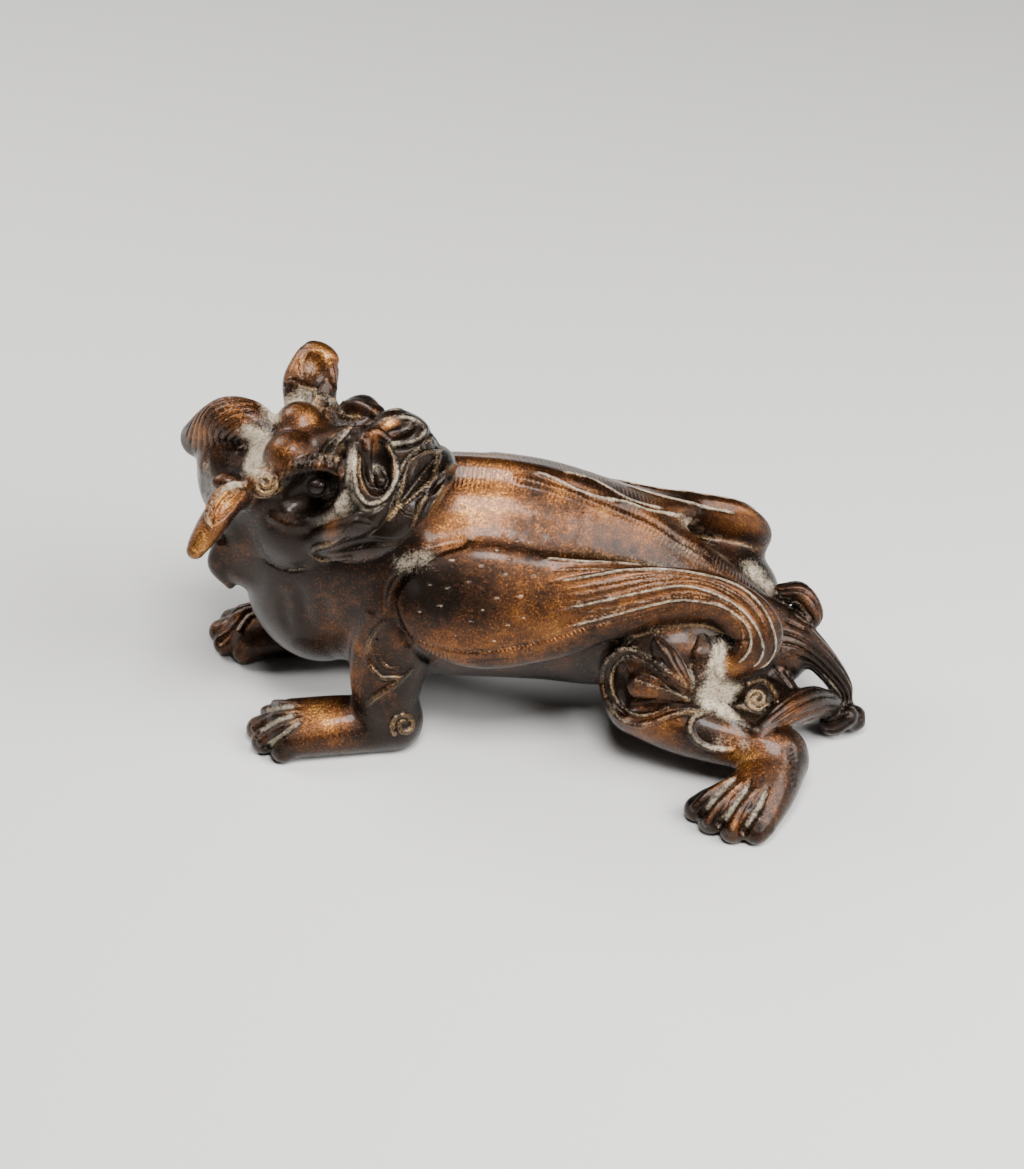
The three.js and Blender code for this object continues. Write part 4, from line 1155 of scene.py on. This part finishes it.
# The points left are put back onto the smooth skin and raised by the relief again, and the normals
# lean by the slope of the relief: n - (dh - n (dh . n))
rough = meshPoints(mesh)
value, gradient = slope(rough)
base = onSkin(rough - unit(gradient) * everywhere(reliefHeight, rough)[:, None], 2, 1.0, 0.5)
value, gradient = slope(base)
baseNormals = unit(gradient)
heights = everywhere(reliefHeight, base)
step = 0.08
lean = sum(everywhere(reliefHeight, base + step * corner)[:, None] * corner for corner in fourCorners) / (4 * step)
lean -= baseNormals * np.sum(lean * baseNormals, 1, keepdims=True)
normals = unit(baseNormals - lean)
points = base + baseNormals * heights[:, None]
low, high = np.array(cadLow) / figure["millimetre"], np.array(cadHigh) / figure["millimetre"]
points = np.clip(points - figure["gridMiddle"], low, high)
points[:, 2] = np.maximum(points[:, 2], 0)
mesh.vertices.foreach_set("co", (points * figure["millimetre"]).astype(np.float32).ravel())
mesh.update()
mesh.polygons.foreach_set("use_smooth", np.ones(len(mesh.polygons), bool))
mesh.normals_split_custom_set_from_vertices(normals.tolist())
body = bpy.data.objects.new("pixiu_bronze", mesh)
bpy.context.scene.collection.objects.link(body)
# What the material reads at each point of the skin. Open air is measured along the normal: at the
# height r over flat skin the distance to the bronze is r, and in a hollow it is less. Under a ridge
# the depth is less in the same way.
def openAir(reach):
    return np.clip(everywhere(lambda p: bronze(p, reach + 0.5), base + baseNormals * reach) / reach, 0, 1)


# Patches of colour: the pixel of the middle, then the radius in millimetres and the strength
patches = {
    # Dust, and along the ridge below the eye partly a painted highlight
    "dustHead": [(262, 442, 3.2, 1.0), (256, 460, 2.6, 0.9), (268, 408, 2.2, 0.8), (282, 397, 1.9, 0.8),
                 (303, 392, 1.7, 0.7), (250, 466, 1.8, 0.8), (272, 466, 1.4, 0.5), (326, 397, 2.0, 0.6),
                 (345, 432, 1.2, 0.5), (351, 462, 1.3, 0.7), (340, 505, 1.6, 0.7), (309, 368, 2.2, 0.7),
                 (355, 500, 1.6, 0.5), (408, 426, 1.2, 0.6), (205, 470, 2.5, 0.4)],
    # Dust, and a pale painted highlight: the broad patches on the flank below the spine stand in for a highlight
    "dustBody": [(402, 566, 2.6, 0.7), (425, 558, 2.6, 0.7), (688, 655, 3.0, 0.3), (690, 675, 2.0, 0.25),
                 (716, 652, 1.8, 0.6), (720, 690, 3.4, 0.85), (734, 690, 2.2, 0.7), (704, 696, 2.4, 0.7),
                 (716, 672, 2.4, 0.8), (730, 712, 2.4, 0.6), (752, 572, 3.4, 0.9), (722, 556, 3.0, 0.7),
                 (768, 585, 2.5, 0.6), (600, 525, 5.5, 0.25), (650, 545, 5.5, 0.25), (560, 510, 4.5, 0.2),
                 (690, 562, 5.0, 0.4), (720, 742, 2.2, 0.6), (745, 745, 1.8, 0.7), (480, 560, 6.0, 0.15),
                 (356, 660, 1.4, 0.5)],
    "amberHead": [(198, 432, 4.2, 1.0), (228, 412, 3.4, 0.7), (245, 432, 3.4, 0.6), (207, 528, 4.6, 1.2),
                  (196, 550, 2.6, 1.2), (296, 362, 2.8, 0.8), (318, 346, 2.6, 0.9), (327, 357, 2.2, 0.6),
                  (300, 420, 4.2, 0.55), (312, 404, 3.4, 0.6), (284, 452, 3.2, 0.45), (330, 526, 2.2, 1.1),
                  (375, 437, 1.3, 1.1), (392, 423, 1.3, 1.1), (357, 414, 1.6, 0.8), (286, 525, 3.0, 0.4)],
    "amberBody": [(470, 470, 5.0, 0.8), (458, 520, 6.0, 0.85), (500, 505, 6.5, 0.7), (430, 545, 4.0, 0.5),
                  (505, 472, 4.5, 0.7), (560, 482, 4.5, 0.5), (610, 580, 7.0, 0.45), (560, 600, 7.0, 0.35),
                  (655, 576, 6.0, 0.4), (700, 595, 5.0, 0.4), (745, 622, 5.0, 0.5), (640, 605, 5.0, 0.5),
                  (560, 636, 4.0, 0.5), (727, 668, 2.4, 1.6), (362, 650, 4.0, 0.8), (350, 680, 3.0, 0.9),
                  (330, 715, 5.0, 1.1), (306, 706, 4.0, 0.9), (640, 735, 4.0, 0.8), (665, 730, 3.4, 0.7),
                  (650, 694, 2.2, 0.6), (750, 764, 4.6, 1.1), (735, 758, 3.6, 0.9), (790, 712, 3.0, 0.5),
                  (640, 500, 8.0, 0.5), (700, 520, 6.0, 0.5), (742, 525, 4.0, 0.8), (440, 652, 5.0, 0.6),
                  (500, 650, 5.0, 0.6), (738, 826, 1.6, 0.9), (700, 788, 2.4, 0.5), (545, 640, 5.0, 0.5),
                  (225, 640, 5.0, 0.5), (480, 575, 6.5, 0.25), (520, 590, 6.5, 0.35), (450, 625, 6.0, 0.2),
                  (600, 505, 3.0, 0.7), (650, 528, 3.0, 0.7), (690, 552, 3.0, 0.7), (560, 490, 3.0, 0.6),
                  (730, 577, 3.0, 0.6)],
    # Painted shade: these patches darken the eye sockets, a nostril pit, the mouth and the jaw, the chest under the
    # head, the front of the wing lobe, the lower belly, the foot of the near foreleg and the tail
    "darkAndPaintedShadeHead": [(311, 492, 4.0, 0.6), (432, 500, 6.0, 1.0), (400, 535, 6.0, 0.8), (290, 545, 7.0, 0.7),
                 (309, 495, 4.5, 0.8), (380, 470, 3.0, 0.4)],
    "darkAndPaintedShadeBody": [(450, 590, 7.0, 0.3), (425, 570, 5.0, 0.4), (270, 620, 10.0, 0.6), (500, 685, 8.0, 0.8),
                 (380, 735, 7.0, 0.3), (830, 690, 6.0, 0.7), (600, 700, 4.0, 0.4)],
}


def flipBody(points):
    return np.column_stack([points[:, 0], 2 * bodyMiddle(points[:, 0]) - points[:, 1], points[:, 2]])


# The sum of strength * exp(-(d / radius)²) over the patches of one colour, and over their twins
def tone(name):
    total = np.zeros(len(points))
    for part, flip in (("Head", flipHead), ("Body", flipBody)):
        rows = np.array(patches[name + part])
        middles = press(rows[:, :2])[0]
        for middle, twin, radius, strength in zip(middles, flip(middles), rows[:, 2], rows[:, 3]):
            reach = np.minimum(np.sum((layout - middle) ** 2, 1), np.sum((layout - twin) ** 2, 1))
            total += strength * np.exp(-reach / radius ** 2)
    return total


# Fine hatching is drawn by the material as sin(2 pi phase), with a phase that grows along a path
def hatching(path, apart, near, far, mean=0.0):
    where = nearestOnPath(layout, path)
    length = np.append(0, np.cumsum(np.linalg.norm(np.diff(path, axis=0), axis=1)))
    reach = np.linalg.norm(layout - between(path, where), axis=1)
    phase = np.interp(where, np.arange(len(path)), length) / apart + mean * reach
    ends = ease(where, 0, 2) * ease(len(path) - 1 - where, 0, 2)
    return phase, ends * ease(reach, near[0], near[1]) * (1 - ease(reach, far[0], far[1]))


# Where it is hatched: the pixels, the spacing, how far from the line it fades out, and the flip. The
# spine has its spacing, where it sets in, where it fades out, and its slant.
hatchedEdges = {
    "wingRim": ([(402, 628), (431, 652), (468, 657), (514, 652), (554, 644.5), (595, 628.5), (635, 618), (675, 608.5),
                 (705, 607)], 0.75, (0.8, 1.4), flipWing),
    "lip": ([(437, 447), (429, 461), (421, 479), (413, 500), (403, 521)], 0.7, (1.8, 2.6), flipHead),
}
hatchedSpine = (0.8, (1.7, 2.2), (4.0, 6.0), 0.12)


def makeTones():
    paths = [(smoothRows(spineRows, 60)[:, :3], *hatchedSpine)]
    rims = pressLines([row[0] for row in hatchedEdges.values()])
    for path, (pixels, apart, far, flip) in zip(rims, hatchedEdges.values()):
        paths += [(path, apart, (-1, 0), far, 0.3), (flip(path), apart, (-1, 0), far, 0.3)]
    phase, hatched = np.zeros(len(layout)), np.zeros(len(layout))
    for row in paths:
        newPhase, mask = hatching(*row)
        phase[mask > hatched] = newPhase[mask > hatched]
        hatched = np.maximum(mask, hatched)
    deep = 0.9
    ridge = np.clip(1 + everywhere(lambda p: bronze(p, 1.0), base - baseNormals * deep) / deep, 0, 1)
    return {
        "phase": phase,
        "hatched": hatched,
        "dust": tone("dust"),
        # amber, less the painted shade of the shade patches
        "amber": tone("amber") - tone("darkAndPaintedShade"),
        "pale": reliefMarks(base)[:, 1],
        "hollow": 1 - (0.25 * openAir(0.8) + 0.35 * openAir(2.0) + 0.4 * openAir(4.5)),
        "ridge": ridge + np.clip(heights, -0.3, 0.3),
    }


layout = base
for name, values in makeTones().items():
    mesh.attributes.new(name, "FLOAT", "POINT").data.foreach_set("value", values.astype(np.float32))
print("tones measured")


class Wire:
    # A socket with the usual signs: each sum adds a node to the material
    def __init__(self, bench, socket):
        self.bench, self.socket = bench, socket

    def sum(self, operation, first, second):
        return self.bench.node("ShaderNodeMath", {"operation": operation}, {0: first, 1: second})

    def __add__(self, other):
        return self.sum("ADD", self, other)

    def __sub__(self, other):
        return self.sum("SUBTRACT", self, other)

    def __rsub__(self, other):
        return self.sum("SUBTRACT", other, self)

    def __mul__(self, other):
        return self.sum("MULTIPLY", self, other)

    __radd__ = __add__
    __rmul__ = __mul__


class Bench:
    # A place where the nodes of one material are put together
    def __init__(self, name):
        self.material = bpy.data.materials.new(name)
        self.material.use_nodes = True
        self.tree = self.material.node_tree
        self.shader = self.tree.nodes["Principled BSDF"]

    def node(self, kind, settings=None, inputs=None, output=0):
        node = self.tree.nodes.new(kind)
        for key, value in (settings or {}).items():
            setattr(node, key, value)
        for key, value in (inputs or {}).items():
            self.set(node.inputs[key], value)
        return Wire(self, node.outputs[output])

    def set(self, socket, value):
        if isinstance(value, Wire):
            self.tree.links.new(value.socket, socket)
        else:
            socket.default_value = value

    def attribute(self, name):
        return self.node("ShaderNodeAttribute", {"attribute_name": name}, output=2)

    def noise(self, spot, scale, detail=2.0, rough=0.5):
        values = {"Vector": spot, "Scale": scale, "Detail": detail, "Roughness": rough}
        return self.node("ShaderNodeTexNoise", {}, values)

    # 0 below the first value, 1 above the second
    def step(self, value, start, end):
        values = {"Value": value, "From Min": start, "From Max": end}
        return self.node("ShaderNodeMapRange", {"interpolation_type": "SMOOTHSTEP"}, values)

    def mix(self, factor, first, second):
        return self.node("ShaderNodeMix", {"data_type": "RGBA"}, {0: factor, 6: first, 7: second}, output=2)


bronzeLook = {
    # the darkest brown, which also colours the painted shade
    "darkAndPaintedShade": (0.012, 0.006, 0.003, 1),
    "brown": (0.056, 0.021, 0.007, 1),
    "rust": (0.145, 0.050, 0.011, 1),
    "ochre": (0.38, 0.175, 0.038, 1),
    "worn": (0.48, 0.30, 0.14, 1),
    # pale dust, which also paints the pale highlights
    "dust": (0.56, 0.47, 0.34, 1),
    "dirt": (0.22, 0.155, 0.095, 1),
    "metallic": 0.8,
    "coat": 0.16,
    "coatRoughness": 0.16,
    "roughness": 0.25,
    "bump": 0.00012,
}


# Dark brown bronze, rusty and amber in patches, worn on the crests, with pale dust in its hollows.
# Painted shade darkens its hollows and some patches, and a pale painted highlight lies on the flank and raised lines.
def makeBronze():
    bench = Bench("bronze")
    inMetres = bench.node("ShaderNodeTexCoord", output=3)
    spot = bench.node("ShaderNodeVectorMath", {"operation": "SCALE"}, {0: inMetres, "Scale": 1000.0})
    broad, middle = bench.noise(spot, 0.13, 3.0), bench.noise(spot, 0.6, 4.0, 0.6)
    fine, grain = bench.noise(spot, 2.4, 5.0, 0.65), bench.noise(spot, 9.0, 3.0, 0.6)
    dust, pale, hollow = bench.attribute("dust"), bench.attribute("pale"), bench.attribute("hollow")
    ridge, hatched, phase = bench.attribute("ridge"), bench.attribute("hatched"), bench.attribute("phase")
    wave = phase * (2 * math.pi) + (middle - 0.5) * 5.0
    hatch = bench.node("ShaderNodeMath", {"operation": "SINE"}, {0: wave}) * hatched * bench.step(middle, 0.35, 0.55)
    speckle = (middle - 0.5) * 1.3 + (fine - 0.5) * 1.6
    # Painted shade: the hollows, and the shade patches through amber, push the colour towards the darkest brown
    warmthLessPaintedShade = bench.attribute("amber") * 0.8 + (broad - 0.5) * 1.6 + speckle - hollow * 0.4
    colour = bench.mix(bench.step(warmthLessPaintedShade, -0.2, 0.35), bronzeLook["darkAndPaintedShade"], bronzeLook["brown"])
    colour = bench.mix(bench.step(warmthLessPaintedShade, 0.3, 0.75), colour, bronzeLook["rust"])
    colour = bench.mix(bench.step(warmthLessPaintedShade + (grain - 0.5) * 1.2, 0.85, 1.4), colour, bronzeLook["ochre"])
    wear = bench.step(ridge + speckle * 0.4, 0.4, 0.95)
    colour = bench.mix(wear * 0.5, colour, bronzeLook["worn"])
    # Dust in the hollows and patches, and a pale painted highlight where the flank patches and the pale raised lines
    # lie
    dustAndSheenFilm = dust + pale + bench.step(hollow, 0.35, 0.75) * 0.45 + hatch * 0.1 + speckle * 0.5 + (grain - 0.5) * 0.9
    dustAndSheenFilm = bench.step(dustAndSheenFilm, 0.4, 1.15) * 0.9
    clump = fine + (grain - 0.5) * 0.8 + (middle - 0.5) * 0.6
    dustAndSheenColour = bench.mix(bench.step(clump, 0.3, 0.6), bronzeLook["dirt"], bronzeLook["dust"])
    colour = bench.mix(dustAndSheenFilm, colour, dustAndSheenColour)
    clean = 1.0 - dustAndSheenFilm
    height = fine * 0.8 + grain * 0.5 + hatch * 0.5 + dustAndSheenFilm * grain * 1.2
    bump = bench.node("ShaderNodeBump", {}, {"Strength": 1.0, "Distance": bronzeLook["bump"], "Height": height})
    for name, value in {
        "Base Color": colour,
        "Metallic": clean * bronzeLook["metallic"],
        "Roughness": (fine - 0.5) * 0.2 + dustAndSheenFilm * 0.45 + bronzeLook["roughness"],
        "Coat Weight": clean * bronzeLook["coat"],
        "Coat Roughness": bronzeLook["coatRoughness"],
        "Normal": bump,
    }.items():
        bench.set(bench.shader.inputs[name], value)
    return bench.material


mesh.materials.clear()
mesh.materials.append(makeBronze())
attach(body, "root")
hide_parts("pixiu_figure")
print("bronze made")


studio = {
    "floorColour": (0.60, 0.59, 0.57, 1),
    "lights": {                                     # where it stands, how wide it is, its watts
        "key": ((0.02, -0.22, 0.49), 0.17, 4.2),
        "side": ((0.36, -0.20, 0.34), 0.36, 6.0),
        "rim": ((-0.34, 0.20, 0.34), 0.20, 2.4),
    },
    "sky": 0.06,
    "skyColour": (0.8, 0.82, 0.85, 1),
    "floorHalf": 3.0,
}


def place(point):
    return (np.asarray(point, float) - figure["gridMiddle"]) * figure["millimetre"]


def makeFloor():
    half = studio["floorHalf"]
    corners = np.array([(-half, -half, 0), (half, -half, 0), (half, half, 0), (-half, half, 0)])
    floorMesh = newMesh("floor", corners, np.array([[0, 1, 2, 3]]))
    floor = bpy.data.objects.new("floor", floorMesh)
    bpy.context.scene.collection.objects.link(floor)
    paper = Bench("paper")
    paper.set(paper.shader.inputs["Base Color"], studio["floorColour"])
    paper.set(paper.shader.inputs["Roughness"], 0.9)
    floorMesh.materials.append(paper.material)


def makeCamera():
    data = bpy.data.cameras.new("camera")
    data.lens, data.sensor_width = picture["lens"], picture["sensor"]
    data.clip_start, data.clip_end = 0.01, 20
    camera = bpy.data.objects.new("camera", data)
    camera.location = place(cameraPlace)
    camera.rotation_euler = (math.pi / 2 - picture["elevation"], 0, 0)
    bpy.context.scene.collection.objects.link(camera)
    bpy.context.scene.camera = camera


def makeLight(name, location, size, power, target=(0, 0, 0.03)):
    data = bpy.data.lights.new(name, "AREA")
    data.energy, data.size = power, size
    light = bpy.data.objects.new(name, data)
    light.location = location
    x, y, z = np.subtract(location, target)
    light.rotation_euler = (math.atan2(math.hypot(x, y), z), 0, math.atan2(y, x) + math.pi / 2)
    bpy.context.scene.collection.objects.link(light)


makeFloor()
makeCamera()
for name, (location, size, power) in studio["lights"].items():
    makeLight(name, location, size, power)
world = bpy.data.worlds.new("studio")
world.use_nodes = True
world.node_tree.nodes["Background"].inputs["Color"].default_value = studio["skyColour"]
world.node_tree.nodes["Background"].inputs["Strength"].default_value = studio["sky"]
bpy.context.scene.world = world
